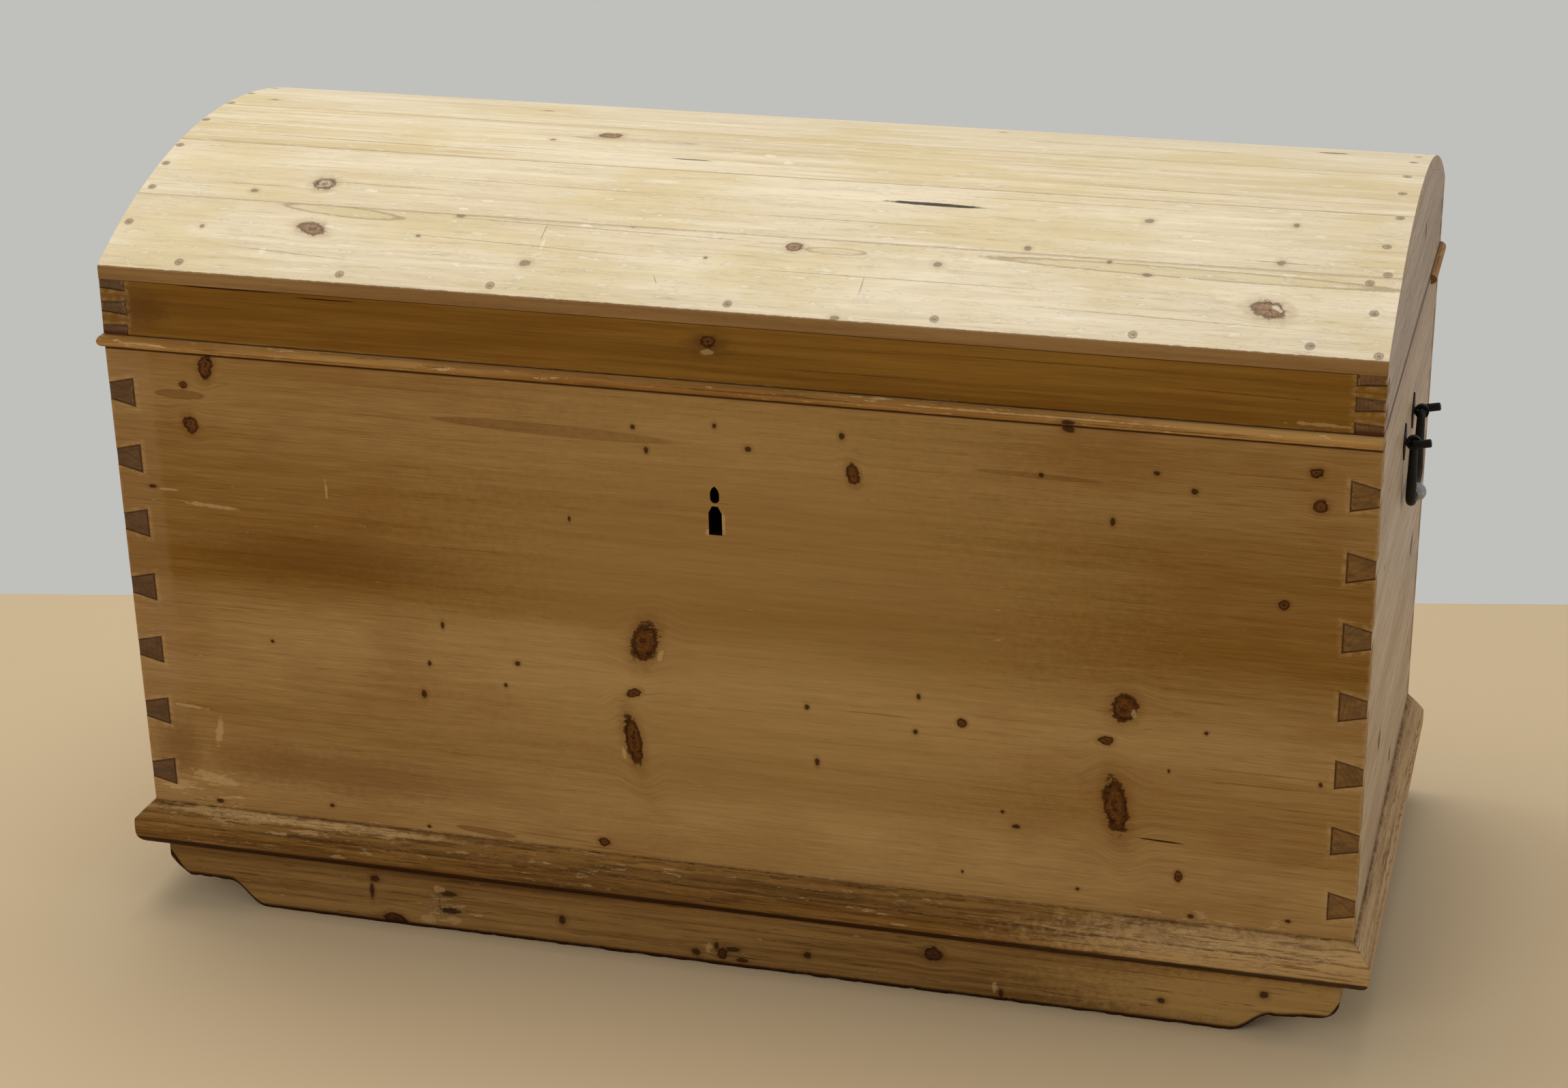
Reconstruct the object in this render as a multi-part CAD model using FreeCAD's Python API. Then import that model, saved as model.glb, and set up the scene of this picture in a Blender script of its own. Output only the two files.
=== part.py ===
import FreeCAD, Part
import math
import os

os.makedirs("parts", exist_ok=True)

# A domed pine blanket chest, in millimetres.
# X runs along the chest, the front faces -Y, Z is up from the floor.
# The origin is on the floor under the middle of the overall length and depth.

# Carcass: four dovetailed boards, front and back leaning in to the foot
case_length = 1200.0
rim_depth = 600.0
foot_depth = 560.0
case_height = 546.0
board_thickness = 25.0

# Bottom boards, nailed up under the carcass
bottom_thickness = 18.0
bottom_seam = 0.6

# Dovetails of the carcass: narrow pins between wide tails
pin_count = 7
pin_root_height = 28.0
pin_corner_height = 16.0
first_pin_drop = 57.0
last_pin_rise = 63.0

# Runners: two boards on edge under the front and the back
runner_height = 65.0
runner_thickness = 30.0
runner_length = 1182.0
runner_sole_length = 980.0
runner_setback = 1.0
runner_step_run = 38.0
runner_nose_radius = 20.0
runner_ogee_swell = 2.4
right_step_height = 20.0
right_ledge_rise = 4.0
right_nose_bulge_share = 1.0
left_step_height = 26.0
left_ledge_rise = 0.5
left_nose_bulge_share = 0.3

# Plinth moulding round the front and both ends
plinth_height = 46.0
plinth_thickness = 18.0
plinth_bevel_height = 16.0
plinth_lip = 1.5
plinth_sole = 3.0

# Half-round bead just under the rim
bead_height = 12.0
bead_proud = 6.0
bead_rest_length = 122.0
bead_rest_taper = 14.0

# Lid: a dovetailed frame under a dome of staves
lid_gap = 0.8
lid_side_height = 67.2
dome_rise = 81.0
stave_count = 6
stave_thickness = 14.0
stave_seam = 0.4
lid_edge_round = 2.5
lid_pin_count = 3
lid_pin_root_height = 12.0
lid_pin_corner_height = 8.5
lid_pin_overlap = 0.25

# Strap hinges behind the rim
hinge_inset = 230.0
hinge_strap_width = 46.0
hinge_case_strap_length = 110.0
hinge_lid_strap_length = 46.0
hinge_strap_thickness = 2.5
hinge_strap_nose = 16.0
hinge_strap_tip_width = 22.0
hinge_barrel_radius = 5.0
hinge_stand = 0.3
hinge_pin_radius = 2.4
hinge_pin_clearance = 0.05
hinge_knuckle_gap = 0.5
hinge_middle_knuckle = 17.0
hinge_pin_end = 1.5
hinge_notch_clearance = 0.6

# Lock behind the front board, its keyhole and the staple on the lid
keyhole_drop = 121.0
keyhole_height = 29.0
keyhole_width = 13.0
keyhole_neck_width = 6.0
keyhole_shoulder = 7.0
keyhole_bridge = 3.0
key_eye_radius = 4.5
key_eye_height = 17.0
key_eye_point = 8.0
key_eye_swell = 0.8
lock_plate_width = 120.0
lock_plate_height = 158.0
lock_plate_thickness = 2.0
lock_plate_drop = 3.0
lock_case_width = 96.0
lock_case_drop = 5.0
lock_wall = 2.5
lock_foot = 14.0
key_post_radius = 2.5
key_post_length = 15.0
bolt_height = 9.0
bolt_thickness = 7.0
bolt_tail_gap = 3.5
bolt_drop = 13.5
bolt_talon_inset = 8.0
bolt_talon_width = 6.0
bolt_talon_depth = 3.0
bolt_guide_clearance = 0.3
bolt_guide_length = 12.0
bolt_start_gap = 3.0
staple_plate_width = 50.0
staple_plate_height = 34.0
staple_plate_lift = 4.0
staple_plate_thickness = 2.5
staple_bar = 4.0
staple_bar_width = 5.0
staple_eye_width = 10.0
staple_eye_height = 16.0
staple_foot_height = 3.5
staple_clearance = 1.75
slot_clearance = 2.5

# Drop handles, one on each end
handle_eye_drop = 95.0
handle_eye_offset = 45.0
handle_plate_height = 38.0
handle_plate_width = 30.0
handle_plate_thickness = 1.5
handle_eye_stand = 8.8
handle_eye_radius = 7.0
handle_eye_width = 5.0
handle_shank_width = 5.4
handle_shank_fit = 0.05
handle_rove_width = 14.0
handle_rove_thickness = 2.5
bail_rod_radius = 4.0
bail_rod_flats = 8
bail_eye_clearance = 0.35
bail_drop = 66.0
bail_arm_inset = 8.0
bail_corner_radius = 14.0
bail_turn_radius = 4.5
bail_tip_offset = 7.5
bail_tip_length = 13.0
bail_tip_lift = 3.5
bail_ball_radius = 9.0
bail_ball_reach = 3.2
bail_ball_bands = 5

# Every cut runs past its piece by this much
overrun = 5.0

# Heights and faces worked out from the sizes above
lean_slope = (rim_depth - foot_depth) / 2 / case_height
lean_angle = math.atan(lean_slope)
rim_z = runner_height + case_height
carcass_z = runner_height + bottom_thickness
lid_z = rim_z + lid_gap
end_x = case_length / 2
inner_end_x = end_x - board_thickness
hinge_reach = hinge_stand + 2 * hinge_barrel_radius
front_rim_y = bead_proud - (bead_proud + rim_depth + hinge_reach) / 2
back_rim_y = front_rim_y + rim_depth
middle_y = (front_rim_y + back_rim_y) / 2
wall = board_thickness / math.cos(lean_angle)
quarter_turn = 90.0
full_turn = 360.0


def vec(x, y, z):
    return FreeCAD.Vector(x, y, z)


def front_y(z):
    """Outer face of the front board at height z."""
    return front_rim_y + (rim_z - z) * lean_slope


def back_y(z):
    """Outer face of the back board at height z."""
    return back_rim_y - (rim_z - z) * lean_slope


front_end_y = min(front_y(runner_height), front_rim_y) - overrun
back_end_y = max(back_y(runner_height), back_rim_y) + overrun


def block(low, high):
    return Part.makeBox(high[0] - low[0], high[1] - low[1], high[2] - low[2], vec(*low))


def prism(points, push):
    return Part.Face(Part.makePolygon(points + [points[0]])).extrude(push)


def along_x(outline, x0, x1):
    """A solid with a (y, z) outline, running along X."""
    return prism([vec(x0, y, z) for y, z in outline], vec(x1 - x0, 0, 0))


def along_y(outline, y0, y1):
    """A solid with an (x, z) outline, running along Y."""
    return prism([vec(x, y0, z) for x, z in outline], vec(0, y1 - y0, 0))


def edge(start, end):
    return Part.LineSegment(start, end).toShape()


def arc(start, middle, end):
    return Part.Arc(start, middle, end).toShape()


def mirror_x(shape):
    return shape.mirror(vec(0, 0, 0), vec(1, 0, 0))


def mirror_y(shape):
    return shape.mirror(vec(0, middle_y, 0), vec(0, 1, 0))


def fuse(shapes):
    return shapes[0].fuse(shapes[1:]).removeSplitter()


def soften(shape, radius, point):
    """Round off the edge whose middle lies nearest to a point."""
    nearest = min(shape.Edges, key=lambda e: (e.CenterOfMass - point).Length)
    return shape.makeFillet(radius, [nearest])


def save(node, shape):
    solids = shape.Solids
    whole = solids[0] if len(solids) == 1 else Part.makeCompound(solids)
    whole.exportStep("parts/" + node + ".step")


# Dovetails
def pin_sockets(heights, root_height, corner_height, depth, y0, y1):
    """Wedges at both ends of a board, wide at the root and narrow at the corner."""
    root_x = end_x - depth
    sockets = []
    for z in heights:
        flare = (root_height - corner_height) / 2 / depth * overrun
        outline = [
            (root_x, z - root_height / 2),
            (root_x, z + root_height / 2),
            (end_x + overrun, z + corner_height / 2 - flare),
            (end_x + overrun, z - corner_height / 2 + flare),
        ]
        socket = along_y(outline, y0, y1)
        sockets.append(socket)
        sockets.append(mirror_x(socket))
    return sockets


def spread(first, last, count):
    step = (last - first) / max(count - 1, 1)
    return [first + step * i for i in range(count)]


# Keyhole: a pointed eye over a house-shaped opening
keyhole_top_z = rim_z - keyhole_drop
keyhole_low_z = keyhole_top_z - keyhole_height
key_eye_low_z = keyhole_top_z + keyhole_bridge
key_eye_top_z = key_eye_low_z + key_eye_height
key_post_z = key_eye_low_z + key_eye_height / 2


def keyhole_cut(y0, y1):
    half = keyhole_width / 2
    neck = keyhole_neck_width / 2
    shoulder_z = keyhole_top_z - keyhole_shoulder
    house = along_y(
        [(-half, keyhole_low_z), (half, keyhole_low_z), (half, shoulder_z),
         (neck, keyhole_top_z), (-neck, keyhole_top_z), (-half, shoulder_z)], y0, y1)
    low = key_eye_low_z + key_eye_radius
    high = key_eye_top_z - key_eye_point
    r = key_eye_radius
    tip = vec(0, y0, key_eye_top_z)
    swell_x = r / 2 + key_eye_swell
    swell_z = (high + key_eye_top_z) / 2 + key_eye_swell
    flame = Part.Wire([
        edge(vec(-r, y0, low), vec(-r, y0, high)),
        arc(vec(-r, y0, high), vec(-swell_x, y0, swell_z), tip),
        arc(tip, vec(swell_x, y0, swell_z), vec(r, y0, high)),
        edge(vec(r, y0, high), vec(r, y0, low)),
        arc(vec(r, y0, low), vec(0, y0, key_eye_low_z), vec(-r, y0, low)),
    ])
    return [house, Part.Face(flame).extrude(vec(0, y1 - y0, 0))]


# Carcass
pin_heights = spread(rim_z - first_pin_drop, carcass_z + last_pin_rise, pin_count)
front_slab = along_x(
    [(front_y(carcass_z), carcass_z), (front_rim_y, rim_z),
     (front_rim_y + wall, rim_z), (front_y(carcass_z) + wall, carcass_z)], -end_x, end_x)
carcass_sockets = pin_sockets(
    pin_heights, pin_root_height, pin_corner_height, board_thickness,
    front_end_y, back_end_y)
plain_front = front_slab.cut(carcass_sockets)
back_board = mirror_y(plain_front)
front_board = plain_front.cut(keyhole_cut(front_end_y, middle_y))

end_outline = [(front_y(carcass_z), carcass_z), (front_rim_y, rim_z),
               (back_rim_y, rim_z), (back_y(carcass_z), carcass_z)]
right_end_board = along_x(end_outline, inner_end_x, end_x).cut([plain_front, back_board])

# Bottom boards, side by side, between the two leaning faces
bottom_slab = along_x(
    [(front_y(runner_height), runner_height), (front_y(carcass_z), carcass_z),
     (back_y(carcass_z), carcass_z), (back_y(runner_height), runner_height)], -end_x, end_x)
bottom_names = ["bottom_board_front", "bottom_board_middle", "bottom_board_rear"]
bottom_edges = spread(front_y(runner_height), back_y(runner_height), len(bottom_names) + 1)
bottom_seams = [
    block((-end_x - overrun, y - bottom_seam / 2, runner_height - overrun),
          (end_x + overrun, y + bottom_seam / 2, carcass_z + overrun))
    for y in bottom_edges[1:-1]
]
bottom_strips = sorted(bottom_slab.cut(bottom_seams).Solids, key=lambda s: s.CenterOfMass.y)
bottom_boards = dict(zip(bottom_names, bottom_strips))


# Runners: a long flat sole, a small ogee step and a nose at each end, the left one worn flatter
def runner(y0):
    sole = runner_sole_length / 2
    tip = runner_length / 2
    ledge = sole + runner_step_run
    nose_x = tip - runner_nose_radius
    quarter_x = runner_step_run / 4

    def end(side, ledge_z, ledge_rise, bulge_share):
        def at(x, z):
            return vec(side * x, y0, z)
        nose_z = ledge_z + ledge_rise
        slope = math.hypot(runner_step_run, ledge_z)
        out_x = ledge_z / slope * runner_ogee_swell
        out_z = runner_step_run / slope * runner_ogee_swell
        quarter_z = ledge_z / 4
        bulge = runner_nose_radius * (1 / 2 - bulge_share * (math.sqrt(1 / 2) - 1 / 2))
        middle = at(sole + 2 * quarter_x, 2 * quarter_z)
        return [
            arc(at(sole, 0), at(sole + quarter_x + out_x, quarter_z - out_z), middle),
            arc(middle, at(ledge - quarter_x - out_x, ledge_z - quarter_z + out_z),
                at(ledge, ledge_z)),
            edge(at(ledge, ledge_z), at(nose_x, nose_z)),
            arc(at(nose_x, nose_z), at(tip - bulge, nose_z + bulge),
                at(tip, nose_z + runner_nose_radius)),
            edge(at(tip, nose_z + runner_nose_radius), at(tip, runner_height)),
        ]

    floor = edge(vec(-sole, y0, 0), vec(sole, y0, 0))
    top = edge(vec(-tip, y0, runner_height), vec(tip, y0, runner_height))
    right_end = end(1, right_step_height, right_ledge_rise, right_nose_bulge_share)
    left_end = end(-1, left_step_height, left_ledge_rise, left_nose_bulge_share)
    outline = Part.sortEdges([floor] + right_end + [top] + left_end)[0]
    return Part.Face(Part.Wire(outline)).extrude(vec(0, runner_thickness, 0))


front_runner = runner(front_y(runner_height) + runner_setback)
rear_runner = mirror_y(front_runner)


# Mouldings: a profile of (reach out from the wood, height)
def plinth_profile(place):
    low = runner_height
    high = low + plinth_height
    out = plinth_thickness
    plinth_round = out - plinth_sole
    bulge = plinth_round * (1 - math.sqrt(1 / 2))
    return [
        edge(place(0, low), place(plinth_sole, low)),
        arc(place(plinth_sole, low), place(out - bulge, low + bulge),
            place(out, low + plinth_round)),
        edge(place(out, low + plinth_round), place(out, high - plinth_bevel_height)),
        edge(place(out, high - plinth_bevel_height), place(plinth_lip, high)),
        edge(place(plinth_lip, high), place(0, high)),
        edge(place(0, high), place(0, low)),
    ]


def bead_profile(place):
    low = rim_z - bead_height
    return [
        arc(place(0, low), place(bead_proud, rim_z - bead_height / 2), place(0, rim_z)),
        edge(place(0, rim_z), place(0, low)),
    ]


def front_moulding(profile, x0, x1):
    wire = Part.Wire(profile(lambda out, z: vec(x0, front_y(z) - out, z)))
    return Part.Face(wire).extrude(vec(x1 - x0, 0, 0))


def right_moulding(profile, reach, y1):
    y0 = front_end_y - reach
    wire = Part.Wire(profile(lambda out, z: vec(end_x + out, y0, z)))
    return Part.Face(wire).extrude(vec(0, y1 - y0, 0))


def mitre_wedge(reach, low, high, corner_out_x):
    """Half of the right front corner's square, cut on its diagonal.

    With corner_out_x it is the half beside the end, otherwise the half before the front.
    """
    z0 = low - overrun
    rise = high - low + 2 * overrun
    rearmost = max(front_y(z0), front_y(z0 + rise))
    far = rearmost - front_end_y + reach + overrun
    corner = vec(end_x, front_y(z0), z0)
    tip = corner + vec(far, -far, 0)
    other = corner + (vec(far, 0, 0) if corner_out_x else vec(0, -far, 0))
    return prism([corner, tip, other], vec(0, -rise * lean_slope, rise))


plinth_top_z = runner_height + plinth_height
plinth_end_half = mitre_wedge(plinth_thickness, runner_height, plinth_top_z, True)
plinth_front_half = mitre_wedge(plinth_thickness, runner_height, plinth_top_z, False)
plinth_reach_x = end_x + plinth_thickness
front_plinth = front_moulding(plinth_profile, -plinth_reach_x, plinth_reach_x)
front_plinth = front_plinth.cut([plinth_end_half, mirror_x(plinth_end_half)])
right_plinth = right_moulding(plinth_profile, plinth_thickness, back_y(runner_height))
right_plinth = right_plinth.cut(plinth_front_half)

bead_low_z = rim_z - bead_height
bead_end_half = mitre_wedge(bead_proud, bead_low_z, rim_z, True)
bead_front_half = mitre_wedge(bead_proud, bead_low_z, rim_z, False)
front_bead = front_moulding(bead_profile, -end_x - bead_proud, end_x)
front_bead = front_bead.cut(mirror_x(bead_end_half))
end_bead = right_moulding(bead_profile, bead_proud, back_y(bead_low_z))
left_bead = mirror_x(end_bead.cut(bead_front_half))

# What is left of the right bead: a length at the back with a slanting break
bead_break_y = back_rim_y - bead_rest_length
break_tool = along_x(
    [(front_end_y - bead_proud - overrun, bead_low_z - overrun),
     (bead_break_y + bead_rest_taper, bead_low_z - overrun),
     (bead_break_y, rim_z + overrun),
     (front_end_y - bead_proud - overrun, rim_z + overrun)],
    end_x, end_x + bead_proud + overrun)
right_bead = end_bead.cut(break_tool)

# Lid: the dome is a circle's segment, its staves flat inside and rounded outside
dome_radius = ((rim_depth / 2) ** 2 + dome_rise ** 2) / (2 * dome_rise)
spring_z = lid_z + lid_side_height
dome_centre_z = spring_z + dome_rise - dome_radius
dome_half_angle = math.asin(rim_depth / 2 / dome_radius)
stave_angle = 2 * dome_half_angle / stave_count
facet_reach = dome_radius - stave_thickness
facet_corner_reach = facet_reach / math.cos(stave_angle / 2)


def dome_point(angle, reach):
    return (middle_y + reach * math.sin(angle), dome_centre_z + reach * math.cos(angle))


def facet_z(stave, y):
    """Height of a stave's flat underside at depth y."""
    tilt = -dome_half_angle + (stave + 1 / 2) * stave_angle
    return dome_centre_z + (facet_reach - (y - middle_y) * math.sin(tilt)) / math.cos(tilt)


def stave(i):
    start = -dome_half_angle + i * stave_angle
    end = start + stave_angle
    first = i == 0
    last = i == stave_count - 1
    seam = stave_seam / 2 / dome_radius
    outer_start = start if first else start + seam
    outer_end = end if last else end - seam
    inner_start = dome_point(outer_start, facet_corner_reach)
    inner_end = dome_point(outer_end, facet_corner_reach)
    if first:
        inner_start = (front_rim_y, facet_z(0, front_rim_y))
    if last:
        inner_end = (back_rim_y, facet_z(i, back_rim_y))

    def at(point):
        return vec(-end_x, point[0], point[1])
    top_start = at(dome_point(outer_start, dome_radius))
    top_middle = at(dome_point((outer_start + outer_end) / 2, dome_radius))
    top_end = at(dome_point(outer_end, dome_radius))
    wire = Part.Wire([
        arc(top_start, top_middle, top_end),
        edge(top_end, at(inner_end)),
        edge(at(inner_end), at(inner_start)),
        edge(at(inner_start), top_start),
    ])
    board = Part.Face(wire).extrude(vec(case_length, 0, 0))
    if first:
        board = soften(board, lid_edge_round, vec(0, front_rim_y, spring_z))
    if last:
        board = soften(board, lid_edge_round, vec(0, back_rim_y, spring_z))
    return board


rail_inner_y = front_rim_y + board_thickness
rail_outline = [(front_rim_y, lid_z), (front_rim_y, facet_z(0, front_rim_y)),
                (rail_inner_y, facet_z(0, rail_inner_y)), (rail_inner_y, lid_z)]
lid_pin_inset = lid_pin_corner_height / 2 - lid_pin_overlap
lid_pin_heights = spread(
    lid_z + lid_pin_inset, facet_z(0, front_rim_y) - lid_pin_inset, lid_pin_count)
lid_sockets = pin_sockets(
    lid_pin_heights, lid_pin_root_height, lid_pin_corner_height, board_thickness,
    front_rim_y - overrun, back_rim_y + overrun)
top_filler = along_x(
    [(front_rim_y - overrun, facet_z(0, front_rim_y) - lid_pin_inset),
     (front_rim_y - overrun, facet_z(0, rail_inner_y) + overrun),
     (rail_inner_y + overrun, facet_z(0, rail_inner_y) + overrun),
     (rail_inner_y + overrun, facet_z(0, front_rim_y) - lid_pin_inset)],
    inner_end_x, end_x + overrun)
lid_front_rail = along_x(rail_outline, -end_x, end_x)
lid_front_rail = lid_front_rail.cut(lid_sockets + [top_filler, mirror_x(top_filler)])
lid_back_rail = mirror_y(lid_front_rail)

facet_corners = [dome_point(-dome_half_angle + i * stave_angle, facet_corner_reach)
                 for i in range(1, stave_count)]
panel_outline = ([(back_rim_y, lid_z), (front_rim_y, lid_z),
                  (front_rim_y, facet_z(0, front_rim_y))] + facet_corners
                 + [(back_rim_y, facet_z(stave_count - 1, back_rim_y))])
lid_right_end = along_x(panel_outline, inner_end_x, end_x)
lid_right_end = lid_right_end.cut([lid_front_rail, lid_back_rail])

# Hinges: a strap down the back board and one up the lid's back rail
hinge_y = back_rim_y + hinge_stand + hinge_barrel_radius
hinge_z = rim_z + lid_gap / 2
hinge_x = end_x - hinge_inset
strap_half = hinge_strap_width / 2
middle_half = hinge_middle_knuckle / 2
outer_inner = middle_half + hinge_knuckle_gap


def barrel(x0, x1, radius):
    return Part.makeCylinder(radius, x1 - x0, vec(x0, hinge_y, hinge_z), vec(1, 0, 0))


def strap(length, up):
    """A flat bar with a pointed nose, standing on the barrel's centre line."""
    nose_z = length - hinge_strap_nose
    neck = hinge_strap_tip_width / 2
    outline = [(-strap_half, 0), (strap_half, 0), (strap_half, nose_z),
               (neck, length), (-neck, length), (-strap_half, nose_z)]
    flat = prism([vec(x, 0, z) for x, z in outline], vec(0, hinge_strap_thickness, 0))
    if up:
        flat.translate(vec(0, back_rim_y, hinge_z))
        return flat
    flat.rotate(vec(0, 0, 0), vec(1, 0, 0), 180)
    flat.translate(vec(0, hinge_strap_thickness, 0))
    flat.rotate(vec(0, 0, 0), vec(1, 0, 0), -math.degrees(lean_angle))
    flat.translate(vec(0, back_y(hinge_z), hinge_z))
    return flat


hinge_bore = barrel(-strap_half - overrun, strap_half + overrun,
                    hinge_pin_radius + hinge_pin_clearance)
clear_radius = hinge_barrel_radius + hinge_notch_clearance
case_notch = barrel(-outer_inner, outer_inner, clear_radius)
lid_notches = [barrel(-strap_half - overrun, -middle_half, clear_radius),
               barrel(middle_half, strap_half + overrun, clear_radius)]
case_strap = strap(hinge_case_strap_length, False).cut(case_notch)
case_leaf = fuse([case_strap, barrel(-strap_half, -outer_inner, hinge_barrel_radius),
                  barrel(outer_inner, strap_half, hinge_barrel_radius)]).cut(hinge_bore)
lid_strap = strap(hinge_lid_strap_length, True).cut(lid_notches)
lid_leaf = fuse([lid_strap, barrel(-middle_half, middle_half, hinge_barrel_radius)])
lid_leaf = lid_leaf.cut(hinge_bore)
hinge_pin = barrel(-strap_half - hinge_pin_end, strap_half + hinge_pin_end, hinge_pin_radius)


def hinge_at(shape, side):
    placed = shape.copy()
    placed.translate(vec(side * hinge_x, 0, 0))
    return placed


# Lock, built upright against the rim's inner edge and leaned with the front board.
# Depth w runs inward from the board's inner face, height z is as on the chest.
lock_y = front_rim_y + wall
slot_half_x = staple_bar_width / 2 + slot_clearance


def lean_in(shape):
    shape.rotate(vec(0, lock_y, rim_z), vec(1, 0, 0), math.degrees(lean_angle))
    return shape


def lock_block(x0, x1, w0, w1, z0, z1):
    return block((x0, lock_y + w0, z0), (x1, lock_y + w1, z1))


plate_top_z = rim_z - lock_plate_drop
plate_low_z = plate_top_z - lock_plate_height
case_top_z = rim_z - lock_case_drop
case_low_z = keyhole_low_z - lock_foot
case_half = lock_case_width / 2
case_w0 = lock_plate_thickness
staple_outer = staple_eye_width + 2 * staple_bar
lock_case_depth = staple_outer + 2 * staple_clearance + lock_wall
case_w1 = case_w0 + lock_case_depth
bolt_z = rim_z - bolt_drop
bolt_w = case_w0 + (lock_case_depth - lock_wall) / 2

lock_plate = lock_block(-lock_plate_width / 2, lock_plate_width / 2,
                        0, lock_plate_thickness, plate_low_z, plate_top_z)
lock_plate = lock_plate.cut(keyhole_cut(lock_y - overrun, lock_y + lock_plate_thickness + overrun))
lock_plate = lean_in(lock_plate)

lock_hull = lock_block(-case_half, case_half, case_w0, case_w1, case_low_z, case_top_z)
lock_hollow = lock_block(-case_half + lock_wall, case_half - lock_wall,
                         case_w0 - overrun, case_w1 - lock_wall,
                         case_low_z + lock_wall, case_top_z - lock_wall)
staple_slot = lock_block(-slot_half_x, slot_half_x,
                         bolt_w - staple_outer / 2 - slot_clearance,
                         bolt_w + staple_outer / 2 + slot_clearance,
                         case_top_z - lock_wall - overrun, case_top_z + overrun)

# The bolt rests beside the slot; two guides inside the case carry it
bolt_nose_x = -slot_half_x - bolt_start_gap
hollow_half = case_half - lock_wall
bolt_tail_x = bolt_tail_gap - hollow_half
bolt_low_z = bolt_z - bolt_height / 2
bolt_w0 = bolt_w - bolt_thickness / 2
bolt_body = lock_block(bolt_tail_x, bolt_nose_x, bolt_w0, bolt_w0 + bolt_thickness,
                       bolt_low_z, bolt_low_z + bolt_height)
talon_x = bolt_tail_x + bolt_talon_inset
talon = lock_block(talon_x, talon_x + bolt_talon_width,
                   bolt_w0 - overrun, bolt_w0 + bolt_thickness + overrun,
                   bolt_low_z - overrun, bolt_low_z + bolt_talon_depth)
lock_bolt = lean_in(bolt_body.cut(talon))
guide_hole = lock_block(-hollow_half, hollow_half,
                        bolt_w0 - bolt_guide_clearance,
                        bolt_w0 + bolt_thickness + bolt_guide_clearance,
                        bolt_low_z - bolt_guide_clearance,
                        bolt_low_z + bolt_height + bolt_guide_clearance)
guide_low_z = bolt_low_z - lock_wall
left_guide_x1 = bolt_nose_x - bolt_start_gap
right_guide_x0 = slot_half_x + bolt_start_gap
guides = [
    lock_block(left_guide_x1 - bolt_guide_length, left_guide_x1, case_w0,
               case_w1 - lock_wall / 2, guide_low_z, case_top_z - lock_wall / 2),
    lock_block(right_guide_x0, right_guide_x0 + bolt_guide_length, case_w0,
               case_w1 - lock_wall / 2, guide_low_z, case_top_z - lock_wall / 2),
]
key_post = Part.makeCylinder(key_post_radius, key_post_length + lock_wall / 2,
                             vec(0, lock_y + case_w1 - lock_wall / 2, key_post_z), vec(0, -1, 0))
lock_case = fuse([lock_hull.cut([lock_hollow, staple_slot]), key_post] + guides)
lock_case = lean_in(lock_case.cut(guide_hole))

# Staple: a plate on the lid rail, a foot reaching in and a loop hanging down
staple_y = lock_y + bolt_w
plate_face_y = rail_inner_y
staple_low_z = lid_z + staple_plate_lift
loop_half = staple_outer / 2
eye_half = staple_eye_width / 2
foot_top_z = staple_low_z + staple_foot_height
eye_low_z = bolt_z - staple_eye_height / 2
bar_half = staple_bar_width / 2
staple_plate = block(
    (-staple_plate_width / 2, plate_face_y, staple_low_z),
    (staple_plate_width / 2, plate_face_y + staple_plate_thickness,
     staple_low_z + staple_plate_height))
staple_foot = block((-bar_half, plate_face_y, staple_low_z),
                    (bar_half, staple_y + loop_half, foot_top_z))
loop_outer = block((-bar_half, staple_y - loop_half, eye_low_z - staple_bar),
                   (bar_half, staple_y + loop_half, foot_top_z))
loop_eye = block((-bar_half - overrun, staple_y - eye_half, eye_low_z),
                 (bar_half + overrun, staple_y + eye_half, eye_low_z + staple_eye_height))
staple_loop = lean_in(loop_outer.cut(loop_eye))
lock_staple = fuse([staple_plate, staple_foot, staple_loop])

# Handles on the right end; the left ones are their mirror image
eye_z = rim_z - handle_eye_drop
eye_x = end_x + handle_eye_stand
handle_y = middle_y
plate_x1 = end_x + handle_plate_thickness


def handle_eye(y):
    ring = Part.makeCylinder(handle_eye_radius, handle_eye_width,
                             vec(eye_x, y - handle_eye_width / 2, eye_z), vec(0, 1, 0))
    hole = Part.makeCylinder(bail_rod_radius + bail_eye_clearance,
                             handle_eye_width + 2 * overrun,
                             vec(eye_x, y - handle_eye_width / 2 - overrun, eye_z), vec(0, 1, 0))
    shank = square_bar(y, handle_shank_width, inner_end_x, eye_x)
    rove = lozenge(y, handle_rove_width / 2, handle_rove_width / 2,
                   inner_end_x - handle_rove_thickness, inner_end_x)
    return fuse([ring, shank, rove]).cut(hole)


def square_bar(y, width, x0, x1):
    return block((x0, y - width / 2, eye_z - width / 2), (x1, y + width / 2, eye_z + width / 2))


def lozenge(y, half_width, half_height, x0, x1):
    return prism([vec(x0, y - half_width, eye_z), vec(x0, y, eye_z + half_height),
                  vec(x0, y + half_width, eye_z), vec(x0, y, eye_z - half_height)],
                 vec(x1 - x0, 0, 0))


def handle_plate(y):
    plate = lozenge(y, handle_plate_width / 2, handle_plate_height / 2, end_x, plate_x1)
    return plate.cut(shank_hole(y))


def shank_hole(y):
    return square_bar(y, handle_shank_width + 2 * handle_shank_fit,
                      inner_end_x - overrun, plate_x1 + overrun)


def rod_section(centre, direction):
    across = vec(1, 0, 0)
    up = direction.cross(across)
    points = []
    for i in range(bail_rod_flats):
        angle = 2 * math.pi * (i + 1 / 2) / bail_rod_flats
        points.append(centre + (across * math.cos(angle) + up * math.sin(angle)) * bail_rod_radius)
    return Part.Face(Part.makePolygon(points + points[:1]))


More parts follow.
